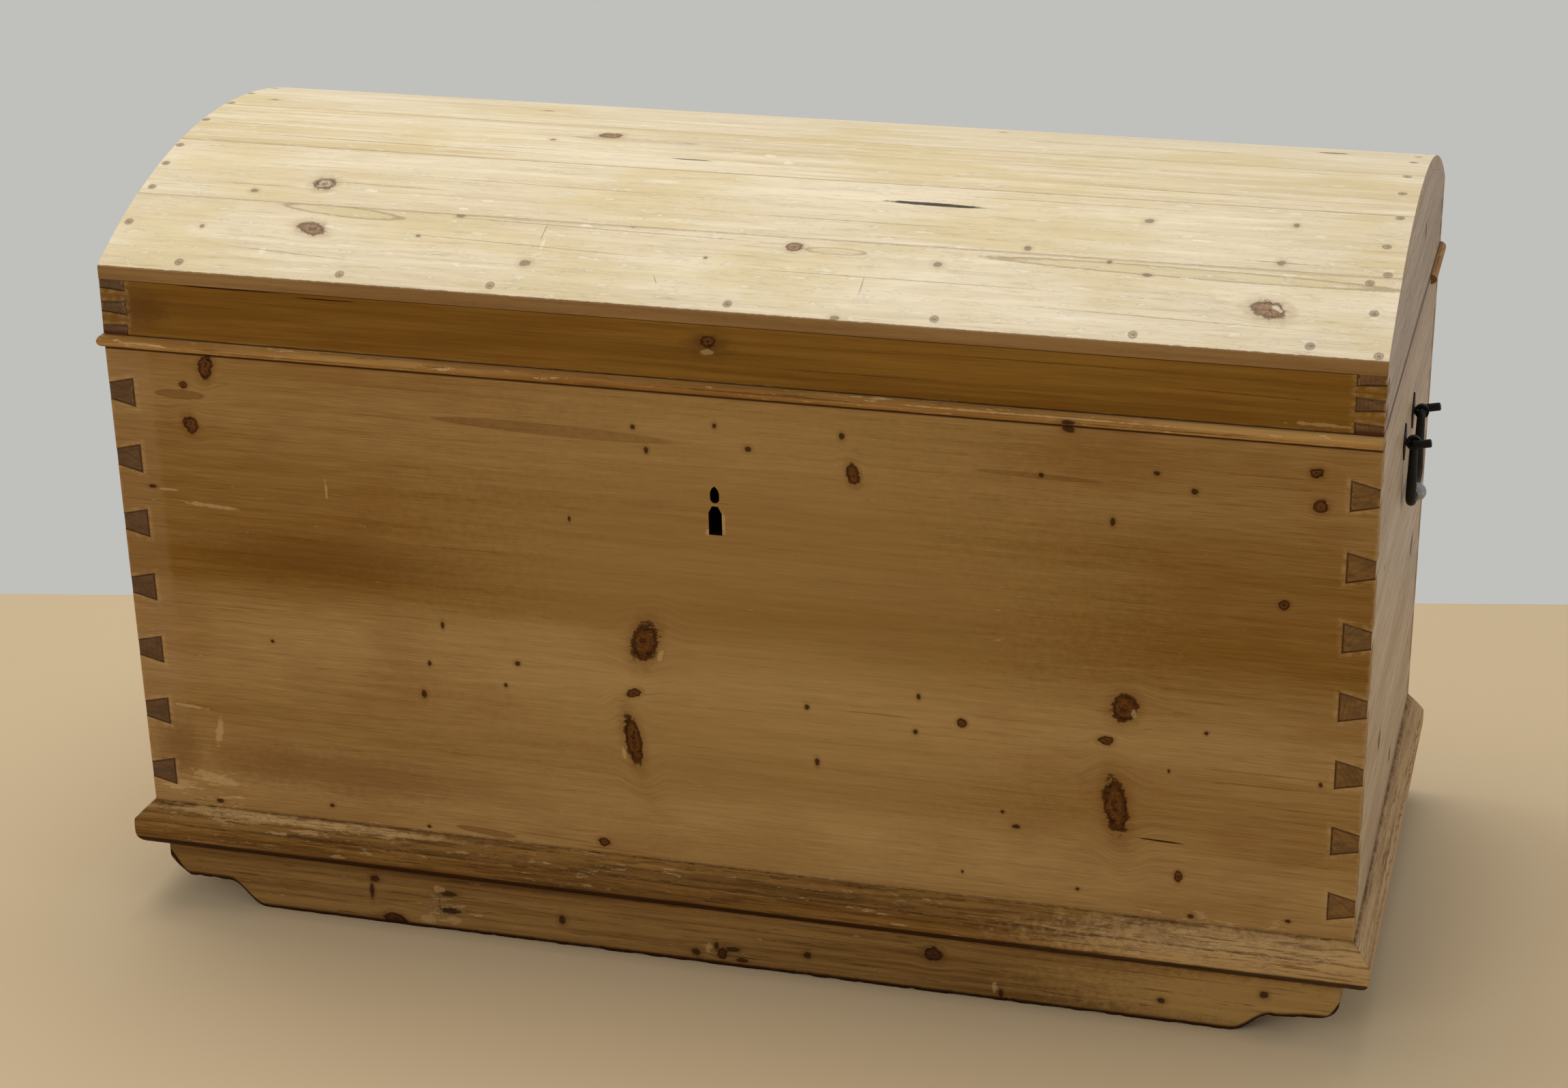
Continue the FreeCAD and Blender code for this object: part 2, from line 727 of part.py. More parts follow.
def bail_rod(start, corners, end, radii, direction):
    """A forged rod with flats along straight runs joined by square bends."""
    points = [start] + corners + [end]
    section = rod_section(start, direction)
    runs = []
    here = start
    for i, radius in enumerate(radii):
        corner = points[i + 1]
        into = (corner - points[i]).normalize()
        out = (points[i + 2] - corner).normalize()
        begin = corner - into * radius
        centre = begin + out * radius
        axis = into.cross(out)
        if (begin - here).Length > 0:
            runs.append(section.extrude(begin - here))
            section = section.translated(begin - here)
        runs.append(section.revolve(centre, axis, quarter_turn))
        section = section.rotated(centre, axis, quarter_turn)
        here = corner + out * radius
    runs.append(section.extrude(end - here))
    return fuse(runs)


def turned_ball(centre, radius, bands):
    """A ball turned in flat bands round the grip's line."""
    points = []
    for i in range(bands + 1):
        angle = math.pi * i / bands
        points.append(centre + vec(radius * math.sin(angle), -radius * math.cos(angle), 0))
    face = Part.Face(Part.makePolygon(points + points[:1]))
    return face.revolve(centre, vec(0, 1, 0), full_turn)


arm_offset = handle_eye_offset - bail_arm_inset
tip_offset = handle_eye_offset + bail_tip_offset
grip_z = eye_z - bail_drop


def bail_half(side):
    middle = vec(eye_x, handle_y, grip_z)
    foot = vec(eye_x, handle_y + side * arm_offset, grip_z)
    shoulder = vec(eye_x, handle_y + side * arm_offset, eye_z)
    bend = vec(eye_x, handle_y + side * tip_offset, eye_z)
    tip = vec(eye_x + bail_rod_radius + bail_tip_length, handle_y + side * tip_offset,
              eye_z + bail_tip_lift)
    return bail_rod(middle, [foot, shoulder, bend], tip,
                    [bail_corner_radius, bail_turn_radius, bail_turn_radius],
                    vec(0, side, 0))


ball = turned_ball(vec(eye_x + bail_ball_reach, handle_y, grip_z), bail_ball_radius, bail_ball_bands)
right_bail = fuse([bail_half(1), bail_half(-1), ball])
eye_front_y = handle_y - handle_eye_offset
eye_rear_y = handle_y + handle_eye_offset
shank_holes = [shank_hole(eye_front_y), shank_hole(eye_rear_y)]
right_end_board = right_end_board.cut(shank_holes)

# Pieces, as saved
pieces = {
    "front_board": front_board,
    "back_board": back_board,
    "right_end_board": right_end_board,
    "left_end_board": mirror_x(right_end_board),
    "front_runner": front_runner,
    "rear_runner": rear_runner,
    "front_plinth": front_plinth,
    "right_plinth": right_plinth,
    "left_plinth": mirror_x(right_plinth),
    "front_bead": front_bead,
    "left_bead": left_bead,
    "right_bead": right_bead,
    "lid_front_rail": lid_front_rail,
    "lid_back_rail": lid_back_rail,
    "lid_right_end": lid_right_end,
    "lid_left_end": mirror_x(lid_right_end),
    "lock_plate": lock_plate,
    "lock_case": lock_case,
    "lock_bolt": lock_bolt,
    "lock_staple": lock_staple,
}
pieces.update(bottom_boards)
for i in range(stave_count):
    pieces["lid_stave_" + str(i + 1)] = stave(i)
for name, side in (("right", 1), ("left", -1)):
    pieces[name + "_hinge_case_leaf"] = hinge_at(case_leaf, side)
    pieces[name + "_hinge_lid_leaf"] = hinge_at(lid_leaf, side)
    pieces[name + "_hinge_pin"] = hinge_at(hinge_pin, side)
handle_pieces = {
    "handle_front_eye": handle_eye(eye_front_y),
    "handle_rear_eye": handle_eye(eye_rear_y),
    "handle_front_plate": handle_plate(eye_front_y),
    "handle_rear_plate": handle_plate(eye_rear_y),
    "bail": right_bail,
}
for name, shape in handle_pieces.items():
    pieces["right_" + name] = shape
    pieces["left_" + name] = mirror_x(shape)

for node, shape in pieces.items():
    save(node, shape)
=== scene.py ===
import math
import random
from types import SimpleNamespace

import bmesh
import bpy
from mathutils import Matrix, Vector, noise


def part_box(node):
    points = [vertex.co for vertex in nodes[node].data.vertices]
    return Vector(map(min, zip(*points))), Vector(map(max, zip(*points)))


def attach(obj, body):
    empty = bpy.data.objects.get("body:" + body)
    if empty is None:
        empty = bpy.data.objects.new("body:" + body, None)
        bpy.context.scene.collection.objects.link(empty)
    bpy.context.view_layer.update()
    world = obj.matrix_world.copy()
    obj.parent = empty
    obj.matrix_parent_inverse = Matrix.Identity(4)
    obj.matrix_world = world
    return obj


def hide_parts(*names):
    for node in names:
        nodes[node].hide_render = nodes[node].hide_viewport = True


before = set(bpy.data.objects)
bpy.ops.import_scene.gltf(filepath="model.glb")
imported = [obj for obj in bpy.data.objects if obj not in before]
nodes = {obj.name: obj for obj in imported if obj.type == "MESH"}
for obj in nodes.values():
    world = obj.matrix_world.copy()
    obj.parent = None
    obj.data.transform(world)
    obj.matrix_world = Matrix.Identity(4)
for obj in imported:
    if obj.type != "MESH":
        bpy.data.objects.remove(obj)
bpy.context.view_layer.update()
print("frame loaded,", len(nodes), "nodes")

# the chest in millimetres, as the boards were cut
chest = {
    "halfLength": 600.0,
    "frontRim": -302.15,
    "middle": -2.15,
    "lean": 20.0 / 546.0,       # how far the front and back draw in per millimetre of height
    "rim": 611.0,
    "board": 25.0,
    "domeRadius": 596.05,
    "domeCentre": 163.95,
}
milli = 0.001

# noises by what they draw: stretch per millimetre along, into and across the grain, detail, roughness
noiseKinds = {
    "drift": ((0.0013, 0.0, 0.0), 1.0, 0.5),
    "wobble": ((0.005, 0.03, 0.03), 2.0, 0.5),
    "streak": ((0.0045, 0.17, 0.17), 4.0, 0.6),
    "pores": ((0.005, 0.3, 0.3), 2.0, 0.5),
    "fibre": ((0.025, 1.1, 1.1), 3.0, 0.6),
    "broad": ((0.0016, 0.018, 0.018), 2.0, 0.5),
    "relief": ((0.02, 0.9, 0.9), 3.0, 0.6),
    "blush": ((0.005, 0.011, 0.011), 4.0, 0.6),
    "grit": ((0.12, 0.05, 0.16), 4.0, 0.65),
    "rubbing": ((0.03, 0.09, 0.09), 4.0, 0.65),
    "flakes": ((0.035, 0.2, 0.2), 5.0, 0.72),
    "smears": ((0.016, 0.34, 0.34), 4.0, 0.68),
    "hammer": ((0.22, 0.22, 0.22), 3.0, 0.5),
    "scale": ((0.9, 0.9, 0.9), 5.0, 0.7),
}


def frontFace(z):
    return chest["frontRim"] + (chest["rim"] - z) * chest["lean"]


def domeHeight(y):
    return chest["domeCentre"] + math.sqrt(chest["domeRadius"] ** 2 - (y - chest["middle"]) ** 2)


def tone(red, green, blue):
    def linear(value):
        value /= 255
        return value / 12.92 if value <= 0.04045 else ((value + 0.055) / 1.055) ** 2.4
    return (linear(red), linear(green), linear(blue), 1.0)


# helpers for wiring shader nodes; each finds its node tree from the sockets that it is given
def feed(socket, value):
    if isinstance(value, bpy.types.NodeSocket):
        socket.id_data.links.new(value, socket)
    else:
        socket.default_value = value


def addNode(kind, values, **settings):
    given = values if isinstance(values, dict) else dict(enumerate(values))
    tree = next(value.id_data for value in given.values() if isinstance(value, bpy.types.NodeSocket))
    node = tree.nodes.new("ShaderNode" + kind)
    for setting, value in settings.items():
        setattr(node, setting, value)
    for socket, value in given.items():
        feed(node.inputs[socket], value)
    return node


def calc(operation, *values, clamp=False):
    return addNode("Math", values, operation=operation, use_clamp=clamp).outputs[0]


def times(first, *others):
    for other in others:
        first = calc("MULTIPLY", first, other)
    return first


def plus(first, second):
    return calc("ADD", first, second)


def minus(first, second):
    return calc("SUBTRACT", first, second)


def timesPlus(first, second, third):
    return calc("MULTIPLY_ADD", first, second, third)


def absolute(value):
    return calc("ABSOLUTE", value)


def move(operation, *values, scale=None):
    given = dict(enumerate(values))
    if scale is not None:
        given["Scale"] = scale
    outputs = addNode("VectorMath", given, operation=operation).outputs
    return outputs["Value" if operation in ("LENGTH", "DOT_PRODUCT") else 0]


def fade(value, start, end, low=0.0, high=1.0):
    return addNode("MapRange", (value, start, end, low, high), interpolation_type="SMOOTHSTEP").outputs[0]


def fall(value, start, end, high=1.0):
    return fade(value, start, end, high, 0.0)


def mix(share, first, second, how="MIX"):
    given = {"Factor": share, "A": first, "B": second}
    return addNode("Mix", given, data_type="RGBA", blend_type=how).outputs["Result"]


def drawNoise(kind, place, shift):
    stretch, detail, roughness = noiseKinds[kind]
    given = {"Vector": move("MULTIPLY_ADD", place, stretch, shift), "Scale": 1.0, "Detail": detail,
             "Roughness": roughness}
    return addNode("TexNoise", given).outputs


def partsOf(vector):
    return addNode("SeparateXYZ", [vector]).outputs


def joined(x, y, z):
    return addNode("CombineXYZ", (x, y, z)).outputs[0]


def shaded(colour, value):
    grey = addNode("CombineColor", (value, value, value)).outputs[0]
    return mix(1.0, colour, grey, "MULTIPLY")


# a node group from a function that takes its input sockets by name and returns its outputs by name
def makeGroup(build, vectors="", numbers="", colours=""):
    group = bpy.data.node_groups.new(build.__name__, "ShaderNodeTree")
    for labels, kind in ((vectors, "Vector"), (numbers, "Float"), (colours, "Color")):
        for label in labels.split():
            group.interface.new_socket(name=label, in_out="INPUT", socket_type="NodeSocket" + kind)
    given = group.nodes.new("NodeGroupInput").outputs
    made = build(**{label: given[label] for label in (vectors + " " + numbers + " " + colours).split()})
    for label, socket in made.items():
        kind = "Color" if socket.type == "RGBA" else "Float"
        group.interface.new_socket(name=label, in_out="OUTPUT", socket_type="NodeSocket" + kind)
    results = group.nodes.new("NodeGroupOutput").inputs
    for label, socket in made.items():
        feed(results[label], socket)
    return group


def use(group, **given):
    return addNode("Group", given, node_tree=group).outputs


# the tree that a board was sawn from: rings round a wandering pith, fibres along it
def pineLog(place, pith, ringWidth, wander, seed, bend):
    shift = move("SCALE", (1.0, 1.7, 2.3), scale=seed)
    drift = drawNoise("drift", place, shift)["Color"]
    sway = move("SCALE", move("SUBTRACT", drift, (0.5, 0.5, 0.5)), scale=wander)
    bent = joined(0.0, 0.0, bend)
    spot = move("ADD", move("ADD", move("SUBTRACT", place, pith), sway), bent)
    radius = move("LENGTH", move("MULTIPLY", spot, (0.0, 1.0, 1.0)))
    wobble = drawNoise("wobble", place, shift)[0]
    rings = timesPlus(wobble, 3.0, calc("DIVIDE", radius, ringWidth))
    part = calc("FRACT", rings)
    late = times(fade(part, 0.2, 0.88), fall(part, 0.9, 1.0))
    year = addNode("TexWhiteNoise", {"W": plus(calc("FLOOR", rings), seed)}, noise_dimensions="1D")
    bowed = move("ADD", place, bent)
    streak = drawNoise("streak", bowed, shift)[0]
    # short dark hairlines where the pores lie open
    lines = drawNoise("pores", bowed, move("ADD", shift, (7.0, 3.0, 5.0)))[0]
    ridge = fall(absolute(minus(lines, 0.5)), 0.0, 0.022)
    return {
        "late": times(late, timesPlus(year.outputs["Value"], 0.7, 0.3)),
        "fibre": drawNoise("fibre", bowed, shift)[0],
        "streak": streak,
        "broad": drawNoise("broad", bowed, shift)[0],
        "hair": times(ridge, fade(streak, 0.46, 0.6)),
    }


# how far a point lies from a mark, in that mark's own radii
def markDistance(place, centre, across, up, deep):
    away = move("SUBTRACT", place, centre)
    sideways, rise, inward = [move("DOT_PRODUCT", away, axis) for axis in (across, up, deep)]
    return move("LENGTH", joined(sideways, rise, inward)), rise


def spotMark(nearest, **mark):
    return {"nearest": calc("MINIMUM", markDistance(**mark)[0], nearest)}


# a knot is a spot that the grain bows round
def knotMark(nearest, pull, bend, **mark):
    away, rise = markDistance(**mark)
    grip = times(fall(away, 0.7, 3.4), pull)
    return {"nearest": calc("MINIMUM", away, nearest), "bend": timesPlus(times(rise, -1.0), grip, bend)}


# the knot's own wood: a dark broken rim, a brown heart with rings, a soft halo outside
def knotLook(nearest, grit, rimShare, colour, core, rim, halo):
    colour = mix(fall(nearest, 0.95, 2.0, 0.35), colour, halo)
    rings = calc("SINE", timesPlus(grit, 22.0, times(nearest, 15.0)))
    rings = calc("MULTIPLY_ADD", rings, 0.3, fade(nearest, 0.0, 0.45, 0.75, 0.3), clamp=True)
    colour = mix(fall(nearest, 0.84, 1.04), colour, mix(rings, core, rim))
    broken = times(fade(nearest, 0.5, 0.82), fall(nearest, 0.94, 1.14), fade(grit, -0.22, 0.12, 0.45, 1.0))
    return {"colour": mix(times(broken, rimShare), colour, rim)}


# how close a point lies to an edge of a squared board, 1 at the edge
def boardEdge(place, low, high, reach, seed):
    a, b, c = partsOf(move("MINIMUM", move("SUBTRACT", place, low), move("SUBTRACT", high, place)))
    second = calc("MAXIMUM", calc("MINIMUM", a, b), calc("MINIMUM", calc("MAXIMUM", a, b), c))
    rubbing = drawNoise("rubbing", place, move("SCALE", (1.3, 0.7, 2.1), scale=seed))[0]
    return {"edge": fall(second, 0.0, times(reach, fade(rubbing, 0.38, 0.66, 0.1, 1.7)))}


# the dark gaps and the rubbed rims that a row of through dovetails leaves on a board's face
def dovetailLine(across, fromEnd, first, pitch, count, root, corner, width, grit):
    steps = calc("DIVIDE", minus(first, across), pitch)
    nearest = calc("MINIMUM", calc("MAXIMUM", calc("ROUND", steps), 0.0), minus(count, 1.0))
    away = times(absolute(minus(steps, nearest)), pitch)
    half = times(timesPlus(minus(root, corner), calc("DIVIDE", fromEnd, chest["board"]), corner), 0.5)
    gap = calc("MAXIMUM", minus(away, half), minus(fromEnd, chest["board"]))    # out from the outline
    gap = timesPlus(grit, 2.5, gap)
    return {
        "line": fall(absolute(gap), 0.0, times(width, fade(grit, -0.2, 0.2, 0.6, 1.7))),
        "rim": times(fade(gap, 0.5, 2.0), fall(gap, 2.5, 7.0), fade(grit, -0.12, 0.16)),
    }


# flakes of pale wood where the finish is chipped, and dirt in the bruises
def scuffed(place, chips, dirt, seed):
    shift = move("SCALE", (2.1, 1.1, 0.7), scale=seed)
    flakes = drawNoise("flakes", place, shift)[0]
    smears = drawNoise("smears", place, move("ADD", shift, (3.0, 9.0, 4.0)))[0]
    low = timesPlus(chips, -0.3, 0.68)
    chip = fade(flakes, low, plus(low, 0.05))
    low = timesPlus(dirt, -0.3, 0.68)
    bruise = fade(smears, low, plus(low, 0.09))
    return {"chip": chip, "dirt": bruise, "height": timesPlus(chip, -1.0, times(bruise, -0.6))}


markAxes = "place centre across up deep"
logGroup = makeGroup(pineLog, vectors="place pith", numbers="ringWidth wander seed bend")
spotGroup = makeGroup(spotMark, vectors=markAxes, numbers="nearest")
knotGroup = makeGroup(knotMark, vectors=markAxes, numbers="nearest pull bend")
knotLookGroup = makeGroup(knotLook, numbers="nearest grit rimShare", colours="colour core rim halo")
edgeGroup = makeGroup(boardEdge, vectors="place low high", numbers="reach seed")
jointGroup = makeGroup(dovetailLine, numbers="across fromEnd first pitch count root corner width grit")
scuffGroup = makeGroup(scuffed, vectors="place", numbers="chips dirt seed")
print("wood groups made")

# each kind of mark: how deep it reaches, how ragged its outline is, and its layers as
# (rise to it or None, fall away from it, share or its key, colour's key), all in the mark's own radii
markKinds = {
    "lenses": (14.0, 0.4, [(None, (0.8, 1.0), "lensShare", "lensFill"),
                           ((0.76, 0.95), (0.98, 1.14), 0.6, "lensLine")]),
    "darkPatches": (30.0, 1.0, [(None, (0.15, 1.15), "darkShare", "late")]),
    "palePatches": (60.0, 1.0, [(None, (0.4, 1.1), "paleShare", "paleWoodAndHighlight")]),
    "flecks": (12.0, 1.3, [(None, (0.9, 2.4), 0.3, "late"), (None, (0.7, 1.1), "fleckShare", "knotRim")]),
    "rubbedPatches": (20.0, 2.6, [(None, (0.6, 0.95), "rubbedShare", "rubbed")]),
    "nails": (30.0, 0.8, [((0.4, 0.8), (1.0, 1.5), 0.6, "nailStain")]),
    "hairlines": (12.0, 1.6, [(None, (0.3, 1.2), "hairlineShare", "hairlineColour")]),
    "splits": (8.0, 0.6, [(None, (0.7, 1.05), 0.95, "split")]),
    "holes": (60.0, 0.0, []),
    "scuffHeight": (60.0, 1.0, []),
}
knotMarks = {"deep": 45.0, "ragged": 1.7, "pull": 0.2}
nailMark = (7.0, 6.4)       # width and height of the stain round a nail
farAway = 99.0              # from any mark, in its own radii
bandWave = 44.0             # how many millimetres the bands of colour wave


def axesOf(board, mark, deep):
    x, across, wide, tall, *tilt = mark
    turn = math.radians(sum(tilt))
    cos, sin = math.cos(turn), math.sin(turn)
    return {"place": board.spot, "centre": (x, board.look["face"], across), "deep": (0.0, 1 / deep, 0.0),
            "across": (2 * cos / wide, 0.0, -2 * sin / wide), "up": (2 * sin / tall, 0.0, 2 * cos / tall)}


def nearestMark(board, kind, marks):
    deep, ragged = markKinds[kind][:2]
    nearest = farAway
    for mark in marks:
        nearest = use(spotGroup, nearest=nearest, **axesOf(board, mark, deep))["nearest"]
    return timesPlus(board.rough, ragged, nearest)


# what a board's material is built from: where a point lies on it, and how rough the spot is
def newBoard(tree, look):
    at = tree.nodes.new("ShaderNodeTexCoord").outputs
    size = move("SCALE", at["Object"], scale=1 / milli)
    x, y, z = partsOf(size)
    facing = partsOf(at["Normal"])
    along, depth, across, cutFace = x, y, z, facing[0]
    if look["along"] == "front":    # the lean is taken out
        depth = plus(y, timesPlus(z, chest["lean"], -chest["frontRim"] - chest["rim"] * chest["lean"]))
    elif look["along"] == "end":
        along, depth, cutFace = y, x, facing[1]
    elif look["along"] == "lid":    # depth is measured down from the dome, across from its front edge
        away = move("MULTIPLY_ADD", size, (0.0, 1.0, 1.0), (0.0, -chest["middle"], -chest["domeCentre"]))
        depth = minus(chest["domeRadius"], move("LENGTH", away))
        across = minus(y, chest["frontRim"])
    spot = joined(along, depth, across)
    grit = drawNoise("grit", spot, (look["seed"], 0.0, 0.0))[0]
    return SimpleNamespace(look=look, spot=spot, x=x, z=z, depth=depth, across=across, upward=facing[2],
                           grit=grit, rough=timesPlus(grit, 0.9, -0.45),
                           end=fade(absolute(cutFace), 0.55, 0.8))


def paint(board, share, colour):
    board.colour = mix(share, board.colour, colour)


# how deep the colour is at each height, in soft bands that follow the grain
def bandTone(board, bend):
    stops = board.look["bands"]
    low, high = stops[0][0], stops[-1][0]
    waved = timesPlus(board.grain["broad"], bandWave, plus(board.across, bend))
    node = addNode("ValToRGB", [calc("DIVIDE", minus(waved, bandWave / 2 + low), high - low)])
    ramp = node.color_ramp
    ramp.interpolation = "B_SPLINE"
    while len(ramp.elements) < len(stops):
        ramp.elements.new(0.5)
    for element, (height, value) in zip(ramp.elements, stops):
        element.position = (height - low) / (high - low)
        element.color = (value, value, value, 1.0)
    return addNode("SeparateColor", [node.outputs[0]]).outputs[0]


def layGrain(board):
    look, seed = board.look, board.look["seed"]
    board.nearest, bend = farAway, 0.0
    for mark in look["knots"]:
        made = use(knotGroup, nearest=board.nearest, bend=bend, pull=knotMarks["pull"] * mark[3],
                   **axesOf(board, mark, knotMarks["deep"]))
        board.nearest, bend = made["nearest"], made["bend"]
    grain = use(logGroup, place=board.spot, pith=(0.0, look["pithDepth"], look["pithAcross"]),
                ringWidth=look["ringWidth"], wander=look["wander"], seed=seed, bend=bend)
    board.grain = grain
    board.deepness = fade(timesPlus(grain["streak"], 0.5, times(grain["broad"], 0.5)), 0.36, 0.64)
    if look["bands"]:
        loose = look["bandLoose"]
        board.deepness = timesPlus(bandTone(board, bend), 1.0 - loose, times(board.deepness, loose))
    board.colour = mix(board.deepness, look["pale"], look["deep"])
    paint(board, times(grain["late"], look["lateShare"]), look["late"])
    paint(board, times(grain["hair"], look["hairShare"]), look["late"])
    if look["warm"]:            # redder stretches where the finish has sunk in
        blush = drawNoise("blush", board.spot, (seed + 40.0, 0.0, 0.0))[0]
        paint(board, times(fade(blush, 0.46, 0.64), look["warmShare"]), look["warm"])
    if look["endStrip"]:        # the strip over the joint has kept less of its finish
        reach, share, strip = look["endStrip"]
        fromEnd = timesPlus(board.rough, 20.0, plus(board.x, chest["halfLength"]))
        paint(board, fall(fromEnd, reach - 4.0, reach + 4.0, share), strip)
    fibre = fade(grain["fibre"], 0.3, 0.7, 1.0 + look["fibreShare"], 1.0 - look["fibreShare"])
    board.colour = shaded(board.colour, fibre)
    relief = drawNoise("relief", board.spot, (seed, seed, 0.0))[0]
    board.shape = times(relief, 0.8)


def showEndGrain(board):
    look = board.look
    cut = shaded(look["endGrain"], fade(board.grit, 0.36, 0.62, 0.72, 1.3))
    cut = mix(times(board.grain["late"], look["endRings"]), cut, look["endLate"] or look["late"])
    paint(board, times(board.end, look["endShare"]), cut)
    if look["inside"]:          # bare wood past this depth
        start, stop, raw = look["inside"]
        paint(board, fade(board.depth, start, stop, 0.0, 0.8), raw)


def paintMarks(board, kind):
    look = board.look
    if not look[kind]:
        return
    marks = [(*nail, *nailMark) for nail in look[kind]] if kind == "nails" else look[kind]
    away = nearestMark(board, kind, marks)
    for rise, drop, share, colour in markKinds[kind][2]:
        seen = fall(away, *drop, look.get(share, share))
        if rise:
            seen = times(seen, fade(away, *rise))
        paint(board, seen, look[colour] or look["late"])
    if kind == "splits":
        board.shape = minus(board.shape, fall(away, *drop, 1.5))


def scuff(board):
    look = board.look
    chips = look["scuffs"]
    for *patch, more in look["scuffHeight"]:    # more chips in some stretches
        chips = plus(chips, fall(nearestMark(board, "scuffHeight", [patch]), 0.3, 1.1, more))
    made = use(scuffGroup, place=board.spot, chips=chips, dirt=look["scuffDirt"], seed=look["seed"])
    paint(board, times(made["dirt"], look["dirtShare"]), look["bruise"])
    paint(board, times(made["chip"], look["chipShare"]), look["rubbed"])
    board.shape = plus(board.shape, made["height"])


def wearEdges(board):
    look = board.look
    low, high = look["edge"]
    made = use(edgeGroup, place=board.spot, low=low, high=high, reach=look["edgeReach"], seed=look["seed"])
    paint(board, times(made["edge"], look["edgeShare"]), look["rubbed"])
    board.shape = minus(board.shape, times(made["edge"], 0.4))


def lineJoints(board):
    row, share, rimShare = board.look["dovetails"]
    fromEnd = minus(chest["halfLength"], absolute(board.x))
    made = use(jointGroup, across=board.z, fromEnd=fromEnd, grit=board.rough, **row)
    seen = board.end if board.look["along"] == "end" else 1.0
    paint(board, times(made["rim"], rimShare, seen), board.look["rubbed"])
    paint(board, times(made["line"], share, seen), board.look["split"])


# painted shade with dirt along gaps, creases and undersides, and the brown front edge of the dome
def settleDirt(board):
    look = board.look
    patchy = fade(board.grit, 0.34, 0.56, 0.45, 1.0)
    # painted shade with dirt where parts meet and along seams
    for height, reach, share in look["dirtLines"]:
        gap = absolute(minus(board.across, height))
        paint(board, times(fall(gap, 0.0, reach, share), patchy), look["dirt"])
    for height, reach, share in look["darkLines"]:      # painted shadow in the gaps, partly dirt, only on the faces that stand upright
        level = board.across
        for start, stop, rise in look["underside"]:
            level = minus(level, fade(board.x, start, stop, *rise))
        gap = timesPlus(board.rough, 0.25 * reach, absolute(minus(level, height)))
        upright = fall(absolute(board.upward), 0.5, 0.85)
        paint(board, times(fall(gap, 0.25 * reach, reach, share), upright), look["lineColour"])
    if look["underDirt"]:       # painted shade with grime on what faces the floor
        paint(board, fall(board.upward, -0.4, -0.22, look["underDirt"]), look["split"])
    if look["stainedEdge"]:     # the front edge of the dome is as brown as the rail under it
        stained = times(fall(board.across, 3.0, 5.0), fade(board.depth, 0.6, 1.2))
        ragged = timesPlus(board.rough, 2.0, board.across)
        stained = calc("MAXIMUM", stained, fall(ragged, 0.3, 1.3, 0.95))
        paint(board, stained, mix(board.deepness, *look["stainedEdge"]))


def newMaterial(name):
    material = bpy.data.materials.new(name)
    material.use_nodes = True
    material.node_tree.nodes.clear()
    return material


def addShader(colour, roughness, height, bump, shine, metallic=0.0):
    strength, distance = bump
    normal = addNode("Bump", {"Strength": strength, "Distance": distance, "Height": height}).outputs[0]
    shader = addNode("BsdfPrincipled", {"Base Color": colour, "Roughness": roughness, "Normal": normal,
                                        "Specular IOR Level": shine, "Metallic": metallic})
    addNode("OutputMaterial", {"Surface": shader.outputs[0]})


def pineMaterial(name, look):
    material = newMaterial(name)
    board = newBoard(material.node_tree, look)
    layGrain(board)
    showEndGrain(board)
    for kind in ("lenses", "darkPatches", "palePatches"):
        paintMarks(board, kind)
    if look["scuffs"]:
        scuff(board)
    if look["knots"]:
        nearest = timesPlus(board.rough, knotMarks["ragged"], board.nearest)
        made = use(knotLookGroup, nearest=nearest, grit=board.rough, rimShare=look["rimShare"],
                   colour=board.colour, core=look["knotCore"], rim=look["knotRim"], halo=look["late"])
        board.colour = made["colour"]
    for kind in ("flecks", "rubbedPatches"):
        paintMarks(board, kind)
    if look["holes"]:           # painted shade inside the keyhole
        holes = nearestMark(board, "holes", look["holes"])
        paint(board, times(fall(holes, 1.0, 1.15, 0.96), fade(board.depth, 0.4, 2.0)), look["holeDark"])
    for kind in ("nails", "hairlines", "splits"):
        paintMarks(board, kind)
    if look["edge"]:
        wearEdges(board)
    if look["dovetails"]:
        lineJoints(board)
    settleDirt(board)
    gloss = timesPlus(board.grain["fibre"], 0.16, look["roughness"] - 0.08)
    addShader(board.colour, gloss, board.shape, (look["bump"], 0.0005), look["shine"])
    return material


def dress(name, material):
    node = nodes[name]
    node.data.materials.clear()
    node.data.materials.append(material)


def softenEdges(name, width, segments=2, angle=35):
    node = nodes[name]
    weld = node.modifiers.new("weld", "WELD")
    weld.merge_threshold = 0.02 * milli
    bevel = node.modifiers.new("rounded", "BEVEL")
    bevel.width = width * milli
    bevel.segments = segments
    bevel.limit_method = "ANGLE"
    bevel.angle_limit = math.radians(angle)
    node.modifiers.new("normals", "WEIGHTED_NORMAL")
    for face in node.data.polygons:
        face.use_smooth = True


# what all the pine shares; a look below changes some of it. Marks are (along, across, wide, tall, tilt) in
# millimetres and degrees, scuffHeight a mark and its extra chips, nails (along, across), lines
# (height, reach, share), underside (from, to, (drop, rise)) along a shaped sole
# dirt also colours the painted shade where parts meet
pine = {
    "knotCore": tone(112, 70, 30), "knotRim": tone(42, 18, 4), "rimShare": 0.85, "split": tone(42, 18, 4),
    "dirt": tone(56, 30, 8), "bruise": tone(56, 30, 8), "rubbed": tone(198, 164, 114), "rubbedShare": 0.6,
    "nailStain": tone(100, 70, 44), "holeDark": tone(14, 8, 5), "lensLine": tone(112, 70, 30),
    "hairlineColour": tone(112, 70, 30), "hairlineShare": 0.6, "lineColour": tone(42, 18, 4),
    "lensFill": None, "fleckShare": 0.85, "endLate": None, "endRings": 0.4, "endShare": 0.85, "bump": 0.5,
    "shine": 0.12, "bands": None, "warm": None, "endStrip": None, "inside": None, "edge": None,
    "dovetails": None, "underDirt": 0.0, "stainedEdge": None, "scuffs": 0.0,
}
for marks in ("knots", "dirtLines", "darkLines", "underside", *markKinds):
    pine[marks] = []

